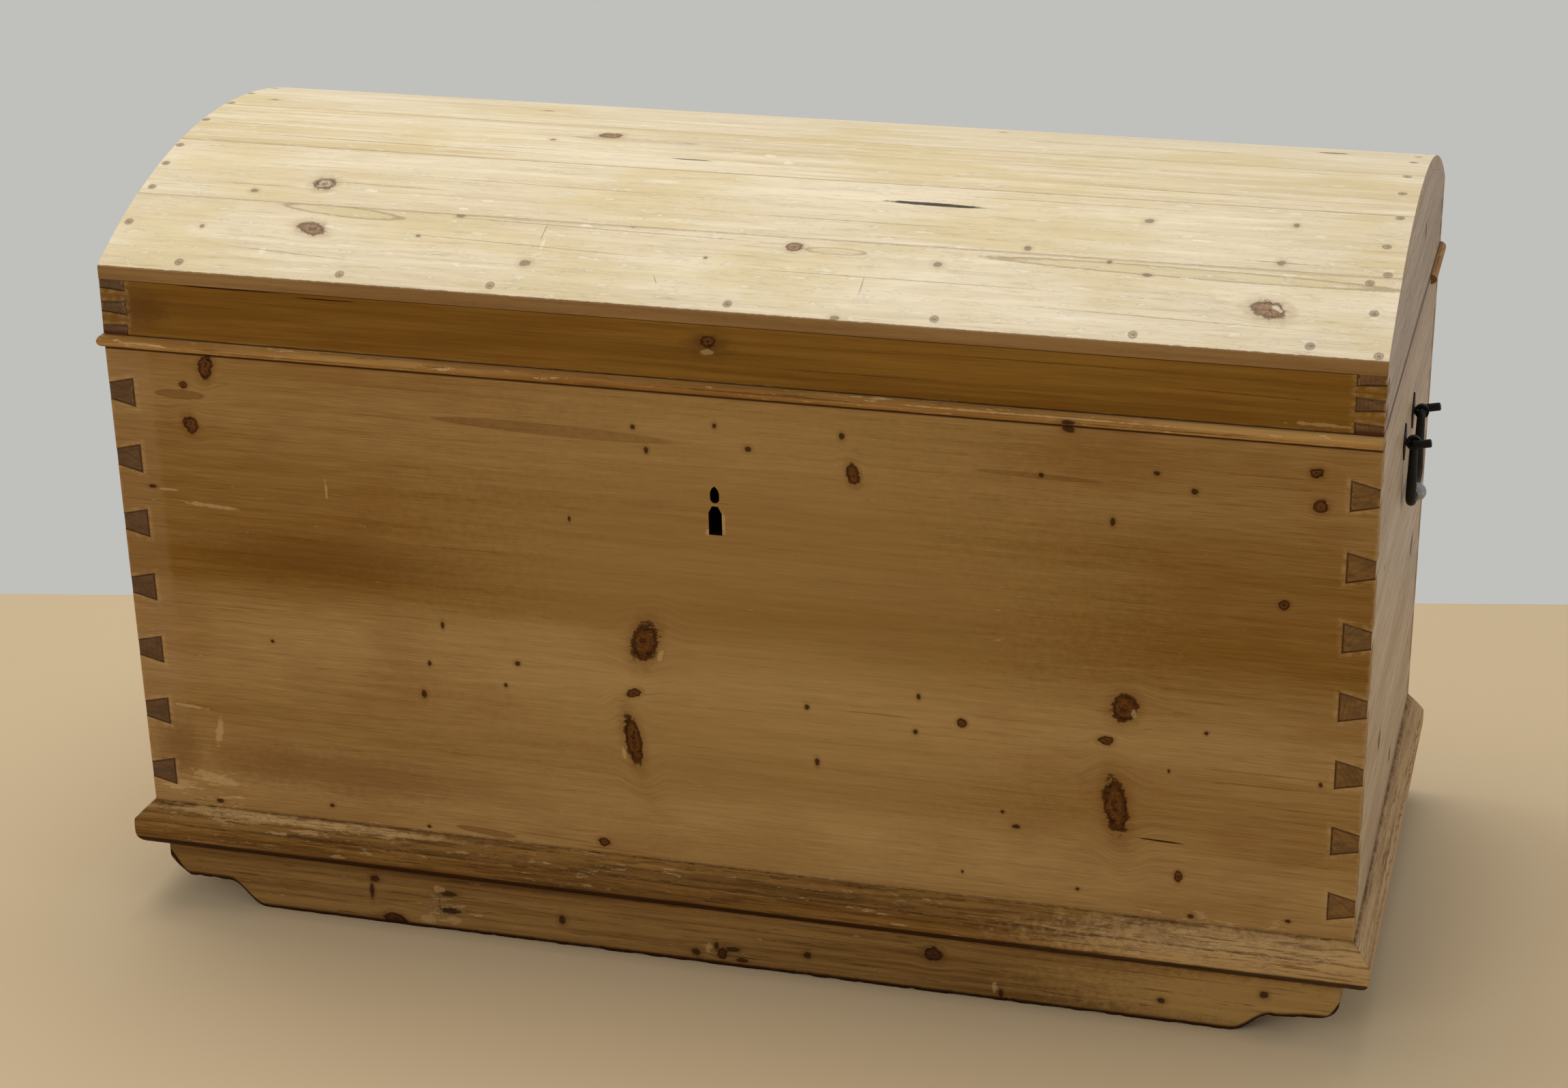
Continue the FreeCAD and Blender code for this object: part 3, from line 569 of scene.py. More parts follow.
# pins and tails: height of the top pin, spacing, number, and a pin's height inside and at the corner
carcassRow = {"first": 554.0, "pitch": 68.0, "count": 7.0, "root": 28.0, "corner": 16.0, "width": 1.2}
lidRow = {"first": 662.1, "pitch": 23.15, "count": 3.0, "root": 12.0, "corner": 8.5, "width": 1.2}

# front board: honey brown, two spike knots either side of the pith line
frontBoard = dict(pine, along="front", face=0, seed=3, pale=tone(178, 143, 91), deep=tone(123, 83, 22),
    late=tone(102, 62, 18), endGrain=tone(150, 122, 84), inside=(16, 22, tone(196, 164, 116)),
    lateShare=0.11, hairShare=0.4, fibreShare=0.14, pithDepth=70, pithAcross=292, ringWidth=4.5, wander=40,
    roughness=0.5, bandLoose=0.22,
    bands=[(83, 0.5), (125, 0.3), (150, 0.05), (180, 0.32), (212, 0.7), (245, 0.5), (292, 0.2), (340, 0.42),
        (362, 0.85), (392, 1), (430, 0.85), (462, 0.92), (505, 0.7), (545, 0.42), (580, 0.6), (611, 0.6)],
    knots=[(-73, 344, 25, 42, 16), (-88.5, 239, 17, 52, -10), (377, 225, 22, 58, -8),
        (383, 327, 24, 29, 14), (131, 534, 12, 20, -12), (-519, 526, 14, 19, -14), (-498, 586, 14, 26, 12),
        (-86, 289, 15, 9, -20), (366.5, 292, 14, 9), (550, 542, 14, 12), (545, 573, 12, 10),
        (-123, 123, 12, 9), (437, 158.5, 8, 11), (232, 294.5, 9, 9), (522, 445, 10, 9, -20),
        (-523, 566, 8, 7)],
    flecks=[(121, 570, 6, 8), (-142, 464, 3, 6), (303, 549, 5, 5), (406, 560, 6, 5), (440, 546, 7, 6),
        (327, 595, 13, 7), (368, 510, 5, 9), (-276, 340, 4, 8), (-455, 304, 4, 4), (-292, 298, 4, 6),
        (-202, 307.5, 6, 6), (-215, 283, 4, 5), (-300, 264, 6, 10), (84, 294, 5, 6), (191, 317, 4, 7),
        (188, 280, 5, 6), (93, 237, 5, 9), (458, 310, 4, 4), (425, 267.5, 3, 4), (343, 133, 4, 4),
        (450, 118, 7, 5), (233, 137, 3, 4), (562.5, 270, 4, 5), (539.5, 125, 6, 4), (-566, 458, 9, 4),
        (-529, 118, 9, 5), (-407, 128, 6, 5), (-305, 117, 4, 4), (284, 192, 8, 5), (271, 206, 4, 4),
        (-76, 562, 5, 5), (2, 570, 5, 6), (-64, 540, 5, 7), (33, 550, 7, 6)],
    splits=[(420, 194, 48, 2, 2)],
    hairlines=[(150, 294, 84, 2), (-175, 122, 110, 2.4, 2), (-120, 116, 90, 2, 1), (500, 274, 150, 1.8),
        (505, 262, 120, 1.6), (500, 566, 130, 1.8), (520, 556, 90, 1.6), (-300, 580, 90, 1.4)],
    hairlineShare=0.5,
    lenses=[(-153, 552, 224, 11, 1), (-527, 556, 50, 9), (300, 548, 110, 5, 1), (-245, 119, 60, 7, 4)],
    lensShare=0.5, warm=tone(130, 80, 34), warmShare=0.28, endStrip=(44, 0.3, tone(160, 124, 84)),
    shine=0.05,
    rubbedPatches=[(-552, 222, 56, 4, 4), (-522, 196, 9, 40, 10), (-530, 143, 60, 14, 12),
        (-508, 443, 70, 5, 3), (-549, 456, 30, 3), (-58, 331, 6, 14, 16), (-98, 222, 5, 18, -10),
        (392, 322, 6, 12), (-385, 470, 3, 30), (-575, 130, 40, 6), (8, 474, 4.4, 28), (-7, 464, 9, 7),
        (0, 488, 10, 3.4)],
    holes=[(0, 482, 26, 60)], rubbedShare=0.5, darkShare=0.5,
    darkPatches=[(-566, 175, 66, 90), (-400, 398, 360, 70), (-380, 165, 420, 66)], scuffs=0.02,
    scuffDirt=0.05, chipShare=0.5, dirtShare=0.25,
    scuffHeight=[(-535, 126, 130, 70, 0.62), (480, 116, 320, 26, 0.45), (-300, 111, 460, 12, 0.4)],
    palePatches=[(40, 360, 800, 700)], paleShare=0.28, paleWoodAndHighlight=tone(182, 148, 92),
    edge=((-600, 0, 111), (600, 25, 611)), edgeReach=2.6, edgeShare=0.25, dovetails=(carcassRow, 0.9, 0.35),
    dirtLines=[(111.5, 2.4, 0.5)], darkLines=[(598.2, 2.2, 0.9)])
backBoard = dict(frontBoard, seed=17,
    knots=[(-310, 300, 28, 24), (60, 420, 22, 30, 10), (350, 210, 30, 26), (-90, 160, 18, 20),
        (480, 460, 20, 16)],
    flecks=[(-450, 480, 6, 6), (200, 330, 6, 5), (-200, 520, 5, 5)], splits=[(-520, 420, 150, 1.6, 1)],
    lenses=[(180, 500, 160, 8)], rubbedPatches=[], darkPatches=[],
    hairlines=[(-200, 250, 260, 1.4), (300, 380, 300, 1.4, 1)], scuffHeight=[(0, 95, 1200, 30, 0.2)],
    along="rail", face=290, pithDepth=360, dirtLines=[(83, 5, 0.5)], darkLines=[],
    edge=((-600, 250, 83), (600, 298, 611)), inside=None, holes=[])

# end boards: paler, with the grain running front to back
endBoard = dict(pine, along="end", face=600, seed=8, pale=tone(192, 172, 146), deep=tone(172, 147, 118),
    late=tone(124, 94, 66), endGrain=tone(112, 76, 27), endLate=tone(80, 46, 12), endRings=0.5,
    endShare=0.92, lateShare=0.32, hairShare=0.9, fibreShare=0.2, pithDepth=680, pithAcross=330,
    ringWidth=5, wander=40, roughness=0.48,
    knots=[(-120, 240, 24, 18), (160, 330, 20, 22), (40, 150, 16, 14)],
    flecks=[(-200, 450, 6, 6), (90, 560, 5, 5), (210, 200, 6, 5)],
    hairlines=[(-225, 520, 120, 1.6, -2), (-240, 505, 90, 1.3, -1), (-120, 400, 260, 1.4, 1),
        (60, 470, 240, 1.4), (-200, 330, 160, 1.3)],
    edge=((-302, 575, 111), (298, 600, 611)), edgeReach=2.6, edgeShare=0.35,
    dovetails=(carcassRow, 0.75, 0), dirtLines=[(111.5, 6, 0.9), (599, 1.6, 0.5)],
    darkLines=[(611, 6.5, 0.95)], lineColour=tone(78, 34, 14), dirt=tone(88, 54, 26),
    darkPatches=[(0, 116, 640, 46)], darkShare=0.4)
leftEndBoard = dict(endBoard, seed=12, face=-600, pithDepth=-690, pithAcross=280, endGrain=tone(84, 55, 26),
    edge=((-302, -600, 111), (298, -575, 611)),
    knots=[(100, 260, 26, 20), (-160, 400, 18, 24), (-60, 180, 14, 14)])

# lid frame: the front rail is darker, with one small knot
frontRail = dict(pine, along="rail", face=-302, seed=21, pale=tone(138, 98, 37), deep=tone(116, 78, 23),
    late=tone(88, 56, 22), endGrain=tone(124, 94, 58), lateShare=0.1, hairShare=0.3, fibreShare=0.07,
    pithDepth=-260, pithAcross=560, ringWidth=3.5, wander=24, roughness=0.48, knots=[(-2, 650, 15, 11)],
    darkPatches=[(-2, 647, 60, 34), (-560, 640, 70, 50)], darkShare=0.6,
    splits=[(-470, 665, 110, 1.2), (-372, 662, 70, 1.3)],
    hairlines=[(-570, 668, 60, 1.4, 3), (300, 655, 300, 1.3), (120, 630, 200, 1.2),
        (480, 640, 160, 1.4, 1)],
    hairlineColour=tone(70, 42, 16),
    rubbedPatches=[(-4, 640, 14, 7), (590, 640, 12, 8), (545, 618, 60, 4)], rubbedShare=0.4,
    edge=((-600, -302.15, 611.8), (600, -277, 680)), edgeReach=1.6, edgeShare=0.4,
    dovetails=(lidRow, 0.9, 0.3), darkLines=[(611.8, 1.6, 0.75), (666.2, 1.2, 0.85)], shine=0.05,
    warm=tone(120, 66, 20), warmShare=0.25, endStrip=(44, 0.35, tone(128, 90, 46)))
backRail = dict(frontRail, seed=27, face=298, knots=[(200, 640, 16, 14)], splits=[], rubbedPatches=[],
    darkPatches=[], hairlines=[(100, 645, 260, 1.4)], pithDepth=260,
    edge=((-600, 272, 611.8), (600, 297.85, 680)))
lidEnd = dict(endBoard, seed=31, pithDepth=690, pithAcross=640, ringWidth=4, pale=tone(182, 162, 142),
    deep=tone(160, 139, 114), late=tone(112, 86, 60), endGrain=tone(98, 64, 21), knots=[(60, 690, 16, 14)],
    flecks=[(-90, 670, 5, 5)], hairlines=[(-120, 690, 200, 1.4, 1)],
    edge=((-302, 575, 611.8), (298, 600, 780)), dirtLines=[], darkLines=[(612, 6, 0.95)], darkPatches=[],
    dovetails=(lidRow, 0.8, 0))
leftLidEnd = dict(lidEnd, seed=35, face=-600, pithDepth=-690, endGrain=tone(84, 58, 28),
    edge=((-302, -600, 611.8), (298, -575, 780)))

# dome staves: bleached straw, nailed down at the front edge and both ends
stave = dict(pine, along="lid", face=0, pale=tone(236, 220, 188), deep=tone(221, 202, 164),
    late=tone(170, 142, 104), endGrain=tone(150, 120, 92), endShare=0.9, lateShare=0.13, hairShare=0.46,
    fibreShare=0.045, wander=26, pithDepth=120, ringWidth=4.2, roughness=0.45, rubbed=tone(244, 234, 208),
    knotCore=tone(174, 140, 100), knotRim=tone(98, 66, 38), rimShare=0.75, fleckShare=0.62,
    lensFill=tone(208, 190, 140), lensLine=tone(146, 118, 76), lensShare=0.5,
    hairlineColour=tone(140, 112, 72), scuffs=0.4, scuffDirt=0.22, chipShare=0.42, dirtShare=0.26,
    bruise=tone(168, 136, 92), warm=tone(210, 187, 126), warmShare=0.46, shine=0.25,
    dirt=tone(120, 92, 58), inside=(13, 17, tone(206, 178, 134)))
staves = [
    dict(stave, seed=41, pithAcross=60, stainedEdge=(tone(152, 114, 64), tone(130, 92, 44)),
        knots=[(491, 46, 32, 19, 14), (57, 82, 17, 12), (-407, 62, 30, 16, 12)],
        flecks=[(-269, 94, 10, 7), (-187, 38, 12, 8), (-100, 97, 9, 8), (192, 72, 9, 7), (-21, 60, 4, 4),
            (380, 77, 9, 5), (344, 91, 5, 5), (-516, 55, 5, 5), (115, 3, 10, 5), (-300, 62, 5, 4)],
        lenses=[(-386, 88, 120, 14, 4), (418, 83, 356, 13, 1), (96, 80, 56, 9), (-178, 110, 4, 3)],
        hairlines=[(-120, 88, 420, 1.5, 1), (-200, 60, 300, 1.4, 2), (150, 50, 320, 1.3),
            (-420, 30, 160, 1.2, 3), (400, 28, 300, 1.2, 1), (-182, 80, 1.6, 30), (130, 40, 1.6, 26),
            (-60, 30, 14, 1.4, 60)],
        rubbedPatches=[(498, 48, 14, 6, 30), (-390, 66, 12, 4, 10), (-165, 76, 10, 3), (-178, 62, 3, 22),
            (-146, 92, 12, 5), (-250, 30, 10, 4, 20), (320, 20, 40, 4), (-445, 30, 8, 12, 30)],
        darkPatches=[(491, 44, 60, 36), (-407, 62, 52, 24, 10)], darkShare=0.2,
        dirtLines=[(93.5, 1, 0.35)],
        nails=[(-520.6, 10.5), (-359, 10), (-211.5, 10), (14.2, 9), (203.5, 9.3), (379.7, 8.5), (532, 10),
            (591, 5), (581, 50), (573, 87), (-591, 54.3)]),
    dict(stave, seed=46, pithAcross=140, knots=[(-420, 128, 21, 19)], knotCore=tone(214, 194, 158),
        rimShare=0.95,
        flecks=[(268, 102, 7, 7), (368, 157, 9, 8), (494, 106, 9, 8), (499, 166, 6, 8), (-485, 110, 9, 6)],
        splits=[(169, 161.5, 104, 6.6, 1)],
        hairlines=[(-360, 132, 160, 1.6, 1), (494, 106, 90, 2, 1), (100, 125, 300, 1.3),
            (-200, 150, 380, 1.3, 1), (300, 180, 300, 1.2), (-485, 120, 90, 1.4)],
        rubbedPatches=[(-370, 122, 16, 6), (-250, 118, 20, 4), (-270, 104, 12, 5), (420, 130, 24, 4)],
        dirtLines=[(95.5, 1, 0.35), (195, 1, 0.3)],
        nails=[(587, 98.8), (581.5, 140.3), (587.6, 192), (-590, 105.4), (-593.4, 146), (-594.9, 182.3)]),
    dict(stave, seed=52, pithAcross=240, deep=tone(214, 192, 146), knots=[(-179, 272, 24, 15)],
        flecks=[(-231, 250, 7, 5)], lenses=[(-150, 262, 120, 7)], darkPatches=[(-60, 262, 420, 50)],
        darkShare=0.24, splits=[(-82, 221, 44, 2.2, 1)],
        hairlines=[(-400, 216, 400, 2, 1), (395, 218, 210, 2, 1), (-250, 224, 120, 1.6), (0, 280, 300, 1.4),
            (-543, 243, 100, 2.2), (250, 260, 240, 1.2)],
        rubbedPatches=[(-9, 242, 14, 9), (12, 229, 12, 9), (-500, 330, 120, 4)],
        dirtLines=[(196.6, 1, 0.3), (299.5, 1, 0.3)], nails=[(584.5, 246), (584, 296), (-595.7, 246)]),
    dict(stave, seed=57, pithAcross=350, knots=[(508, 386, 26, 9)],
        flecks=[(-559, 331, 10, 5), (-273, 358, 12, 5), (184, 398, 9, 6)], lenses=[(320, 350, 200, 6)],
        hairlines=[(-100, 330, 420, 1.5, 1), (300, 375, 300, 1.6, 1), (-420, 372, 200, 1.4)],
        rubbedPatches=[(-100, 340, 120, 4), (60, 365, 160, 4)],
        dirtLines=[(300.5, 1, 0.3), (403.5, 1, 0.3)],
        nails=[(584.6, 356), (586, 396), (-595, 305.6), (-596, 356)]),
    dict(stave, seed=63, pithAcross=470, knots=[(-60, 452, 18, 14)],
        hairlines=[(-200, 470, 360, 1.4), (250, 430, 300, 1.4)], rubbedPatches=[(300, 450, 120, 5)],
        flecks=[(330, 470, 7, 6)], nails=[(590, 452), (591, 495), (-594, 411), (-594, 470)]),
    dict(stave, seed=68, pithAcross=560, knots=[(250, 548, 20, 16)],
        hairlines=[(100, 560, 360, 1.4), (-350, 530, 300, 1.4)], rubbedPatches=[(-100, 550, 120, 5)],
        flecks=[(-300, 560, 7, 6)], nails=[(-480, 590), (-240, 591), (0, 591), (240, 590), (480, 590)]),
]

# plinth, runners and beads: the most worn wood
plinth = dict(pine, along="rail", face=-300, seed=74, pale=tone(150, 110, 56), deep=tone(105, 70, 26),
    late=tone(70, 42, 14), bruise=tone(76, 46, 16), endGrain=tone(122, 92, 56), lateShare=0.22,
    hairShare=0.55, fibreShare=0.1, pithDepth=-250, pithAcross=40, ringWidth=3, wander=30, roughness=0.55,
    bump=0.8, scuffs=0.3, scuffDirt=0.52, chipShare=0.5, dirtShare=0.6, rubbed=tone(188, 154, 106),
    scuffHeight=[(-460, 103, 320, 20, 0.3), (-250, 98, 240, 8, 0.25), (470, 96, 330, 44, 0.3),
        (150, 104, 400, 6, 0.18)],
    darkPatches=[(-120, 78, 560, 34), (60, 100, 460, 16)], darkShare=0.4,
    # the long pale patch on the left of the top bevel is a painted highlight; the patch at the right end is
    # paler wood
    palePatches=[(560, 86, 600, 80), (-440, 107, 420, 8)], paleShare=0.75, paleWoodAndHighlight=tone(200, 162, 108),
    shine=0.06, underDirt=0.9, dirtLines=[(111, 1.8, 0.45), (94.6, 1.8, 0.6)],
    darkLines=[(65.6, 2.6, 0.9)],
    hairlines=[(-585, 84, 2, 24), (-250, 97, 120, 2.4, 1), (-60, 90, 200, 2, 1), (250, 103, 300, 2)])
endPlinth = dict(plinth, along="end", face=612, seed=79, pithDepth=660, darkPatches=[], palePatches=[],
    pale=tone(186, 154, 112), deep=tone(150, 116, 74), scuffHeight=[(0, 103, 600, 16, 0.2)], scuffDirt=0.3,
    hairlines=[(-100, 100, 200, 2)], dirt=tone(84, 50, 24), dirtLines=[(111, 4, 0.8), (94.6, 1.8, 0.5)])
runner = dict(plinth, face=-281, seed=83, pale=tone(146, 110, 61), deep=tone(107, 74, 34), lateShare=0.12,
    scuffs=0.2, scuffDirt=0.3, knotRim=tone(46, 22, 10), knotCore=tone(84, 50, 24), rimShare=0.95,
    knots=[(204.5, 42, 18, 15), (-348, 5, 26, 15, 8), (-6, 14, 10, 12, 20)],
    flecks=[(-171, 29, 8, 11), (-33, 12, 10, 9), (5, 20, 16, 6), (80, 24, 8, 8), (271, 9, 5, 9),
        (425, 23, 8, 7), (521, 43, 9, 8), (-368, 49, 10, 8), (-372, 35, 5, 18), (-291, 42, 22, 6),
        (-288, 23, 24, 7), (14, 9, 14, 5), (-12, 22, 5, 9)],
    scuffHeight=[(-292, 24, 80, 50, 0.42), (-120, 40, 260, 30, 0.12), (0, 16, 60, 22, 0.25)],
    rubbedPatches=[(-286, 13, 17, 13), (-312, 12, 20, 16), (-300, 46, 14, 10), (-20, 18, 8, 14, 20),
        (265, 14, 6, 14)],
    rubbedShare=0.45, darkPatches=[(-260, 58, 300, 10), (0, 2, 900, 8)], darkShare=0.6,
    palePatches=[(560, 30, 560, 90)], paleShare=0.6, paleWoodAndHighlight=tone(184, 146, 86),
    hairlines=[(25, 43, 400, 2.2), (-200, 50, 260, 1.8), (400, 50, 260, 1.6), (-300, 30, 1.8, 34)],
    dirtLines=[(63, 5, 0.85)], darkLines=[(1.5, 5.5, 0.97)], underDirt=0.97,
    underside=[(490, 528, (0, 20)), (528, 571, (0, 4)), (579, 597, (0, 22)), (-528, -490, (26, 0)),
        (-595, -571, (26, 0))])
rearRunner = dict(runner, seed=88, face=277, pithDepth=330)
# the bead's two thin pale patches along its top are a painted highlight, drawn in its rubbed colour
bead = dict(frontRail, seed=92, face=-306, knots=[], darkPatches=[], splits=[], dovetails=None,
    hairlines=[(-420, 603, 260, 1.6), (60, 606, 300, 1.5), (420, 603, 260, 1.8)],
    flecks=[(327, 603, 14, 6)], pale=tone(184, 142, 82), deep=tone(146, 103, 50),
    rubbed=tone(218, 184, 130), darkLines=[(599, 1.4, 0.9), (611, 0.8, 0.6)], scuffs=0.3, scuffDirt=0.3,
    chipShare=0.6, dirtShare=0.5, rubbedPatches=[(300, 607, 300, 2), (-560, 606, 40, 2)], edge=None,
    endStrip=None)
endBead = dict(bead, along="end", face=604, seed=96, pithDepth=620, rubbedPatches=[], flecks=[],
    hairlines=[])

# bottom boards: raw wood inside the case
bottom = dict(backBoard, seed=101, knots=[(-200, 275, 26, 30)], flecks=[], splits=[], lenses=[],
    hairlines=[], pale=tone(176, 146, 104), deep=tone(150, 118, 78), along="lid", face=640, pithDepth=680,
    pithAcross=280, dirtLines=[], dovetails=None, scuffHeight=[], bands=None, endStrip=None, edge=None)

woodLooks = {
    "front_board": frontBoard, "back_board": backBoard, "right_end_board": endBoard,
    "left_end_board": leftEndBoard, "lid_front_rail": frontRail, "lid_back_rail": backRail,
    "lid_right_end": lidEnd, "lid_left_end": leftLidEnd, "front_plinth": plinth, "right_plinth": endPlinth,
    "left_plinth": dict(endPlinth, face=-612, seed=80, pithDepth=-660), "front_runner": runner,
    "rear_runner": rearRunner, "front_bead": bead, "right_bead": endBead,
    "left_bead": dict(endBead, seed=97, face=-604), "bottom_board_front": bottom,
    "bottom_board_middle": dict(bottom, seed=104), "bottom_board_rear": dict(bottom, seed=107),
}
for i, look in enumerate(staves, 1):
    woodLooks["lid_stave_" + str(i)] = look
wood = {name: pineMaterial(name + "_pine", look) for name, look in woodLooks.items()}
for name, material in wood.items():
    dress(name, material)
print("wood dressed")

# rounded arrises by their width, not on the front board: thin faces run out from its keyhole
arrises = {
    0.6: ["back_board", "right_end_board", "left_end_board", "bottom_board_front", "bottom_board_middle",
          "bottom_board_rear", "right_bead"],
    0.5: ["lid_front_rail", "lid_back_rail", "lid_right_end", "lid_left_end"],
    0.45: ["lid_stave_" + str(i) for i in range(1, 7)],
}
for width, names in arrises.items():
    for name in names:
        softenEdges(name, width)


# a closed skin over rings of points, in a mesh of its own or added to another
def skin(rings, mesh=None):
    if mesh is None:
        mesh = bmesh.new()
    made = [[mesh.verts.new(Vector(point) * milli) for point in ring] for ring in rings]
    count = len(rings[0])
    for first, second in zip(made, made[1:]):
        for i in range(count):
            j = (i + 1) % count
            mesh.faces.new((first[i], first[j], second[j], second[i]))
    mesh.faces.new(made[0])
    mesh.faces.new(made[-1])
    bmesh.ops.recalc_face_normals(mesh, faces=mesh.faces)
    return mesh


def pieceFromMesh(name, mesh, material, body, standsFor=None, sharp=38):
    data = bpy.data.meshes.new(name)
    mesh.to_mesh(data)
    mesh.free()
    for face in data.polygons:
        face.use_smooth = True
    data.set_sharp_from_angle(angle=math.radians(sharp))
    piece = bpy.data.objects.new(name, data)
    bpy.context.scene.collection.objects.link(piece)
    data.materials.append(material)
    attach(piece, body)
    if standsFor:
        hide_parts(standsFor)


def rub(along, across, seed, scale):
    return noise.noise(Vector((along * scale, across * scale, seed)))


# a chip is a short hollow in an arris: (place, half length, depth)
def makeChips(rand, reach, wear):
    return [(rand.uniform(-reach, reach), rand.uniform(wear["shortestChip"], wear["longestChip"]),
             rand.uniform(wear["shallowestChip"], wear["deepestChip"])) for i in range(wear["chips"])]


def chipDepth(chips, along):
    depth = 0.0
    for centre, half, deep in chips:
        share = abs(along - centre) / half
        if share < 1:
            depth = max(depth, deep * min(1.0, 2.2 * (1 - share)))
    return depth


plinthWear = {"station": 2.5, "arris": 0.9, "wander": 1.0, "inward": 0.8, "downward": 0.6, "mitreGap": 0.12,
              "frontEnd": 300.0, "rearEnd": 277.9, "chips": 70, "shortestChip": 2.5, "longestChip": 11.0,
              "shallowestChip": 0.3, "deepestChip": 1.5, "wholeEnd": 12.0, "wholeShare": 1 / 40,
              "sideStation": 4.0, "shoulder": 92.0, "seed": 11}

# (reach out from the wood, height, wear, which arris its chips belong to)
plinthProfile = [(0.0, 65.1, 0.0, None), (3.0, 65.1, 0.1, "low")]
for step in range(1, 7):        # a quarter round of 15 mm
    angle = math.radians(-90 + 15 * step)
    arris = "low" if step < 3 else None
    plinthProfile.append((3 + 15 * math.cos(angle), 80 + 15 * math.sin(angle), 0.25, arris))
plinthProfile += [
    (18.0, 84.0, 0.2, None), (18.0, 88.0, 0.25, None), (18.0, 91.5, 0.5, "mid"), (17.9, 93.8, 0.9, "mid"),
    (17.2, 95.6, 1.0, "mid"), (15.4, 97.5, 0.8, "mid"), (12.0, 100.8, 0.45, None), (8.4, 104.3, 0.4, None),
    (5.0, 107.6, 0.6, "top"), (2.9, 109.6, 1.0, "top"), (1.5, 110.8, 1.0, "top"), (0.0, 111.0, 0.3, None)]


def plinthRing(along, seed, chips, chipShare):
    ring = []
    for reach, z, wear, arris in plinthProfile:
        worn = wear * (0.25 + plinthWear["arris"] * max(0.0, rub(along, z, seed, 0.07) + 0.35))
        worn += 0.25 * wear * rub(along, z * 3, seed + 5, 0.3)
        if arris:
            worn += wear * chipDepth(chips[arris], along) * chipShare
        rise = plinthWear["wander"] * rub(along, 0, seed + 9, 0.015) * wear if arris == "mid" else 0.0
        if z > plinthWear["shoulder"] and reach > 0:
            rise -= worn * plinthWear["downward"]
        ring.append((max(0.0, reach - worn * plinthWear["inward"]), z + rise))
    return ring


def stationsBetween(low, high, step):
    count = max(2, round((high - low) / step))
    return [low + (high - low) * i / count for i in range(count + 1)]


# a side trim follows the leaning front where it starts and runs square to the back where it ends
def sidePoint(side, share, rear, reach, z):
    y = (frontFace(z) - reach) * (1 - share) + rear * share
    return (side * (chest["halfLength"] + reach), y, z)


# the front plinth runs between the mitres, a side plinth back from its mitre
def makePlinths():
    rand = random.Random(plinthWear["seed"])
    half, front, rear = chest["halfLength"], plinthWear["frontEnd"], plinthWear["rearEnd"]
    for name, side, seed in (("front_plinth", 0, 3.3), ("right_plinth", 1, 8.7), ("left_plinth", -1, 14.2)):
        chips = {arris: makeChips(rand, half, plinthWear) for arris in ("low", "mid", "top")}
        rings = []
        if side == 0:
            for along in stationsBetween(-half, half, plinthWear["station"]):
                share = along / half
                ring = plinthRing(along, seed, chips, min(1.0, (half - abs(along)) / plinthWear["wholeEnd"]))
                rings.append([(share * (half + reach - plinthWear["mitreGap"]), frontFace(z) - reach, z)
                              for reach, z in ring])
        else:
            for along in stationsBetween(-front, rear, plinthWear["sideStation"]):
                share = (along + front) / (rear + front)
                ring = plinthRing(along, seed, chips, min(1.0, share / plinthWear["wholeShare"]))
                rings.append([sidePoint(side, share, rear, reach, z) for reach, z in ring])
        pieceFromMesh(name + "_worn", skin(rings), wood[name], "case", name)


makePlinths()
print("plinth worn")

runnerShape = {"top": 65.0, "front": -281.15, "thick": 30.0, "sole": 490.0, "stepRun": 38.0,
               "ledgeRun": 43.0, "nose": 20.0, "arris": 3.2, "station": 3.0,
               "rightStep": 20.0, "rightRise": 4.0, "rightBulge": 1.0, "rightEase": 0.85,
               "leftStep": 26.0, "leftRise": 0.5, "leftBulge": 0.3, "leftEase": 0.7,
               "chips": 80, "shortestChip": 2.5, "longestChip": 12.0, "shallowestChip": 0.3,
               "deepestChip": 1.8, "chipped": 590.0, "seed": 23}


# the height of the sole, with an ogee step, a ledge and a rounded nose at each end
def runnerUnderside(x):
    side = "right" if x > 0 else "left"
    step, rise = runnerShape[side + "Step"], runnerShape[side + "Rise"]
    past = abs(x) - runnerShape["sole"]
    if past <= 0:
        return 0.0
    share = past / runnerShape["stepRun"]
    if share <= 1:
        return step * (share - runnerShape[side + "Ease"] * math.sin(2 * math.pi * share) / (2 * math.pi))
    past -= runnerShape["stepRun"]
    share = past / runnerShape["ledgeRun"]
    if share <= 1:
        return step + rise * share
    share = min(1.0, (past - runnerShape["ledgeRun"]) / runnerShape["nose"])
    curve = 1 - math.sqrt(max(0.0, 1 - share ** 2))
    return step + rise + runnerShape["nose"] * (share + runnerShape[side + "Bulge"] * (curve - share))


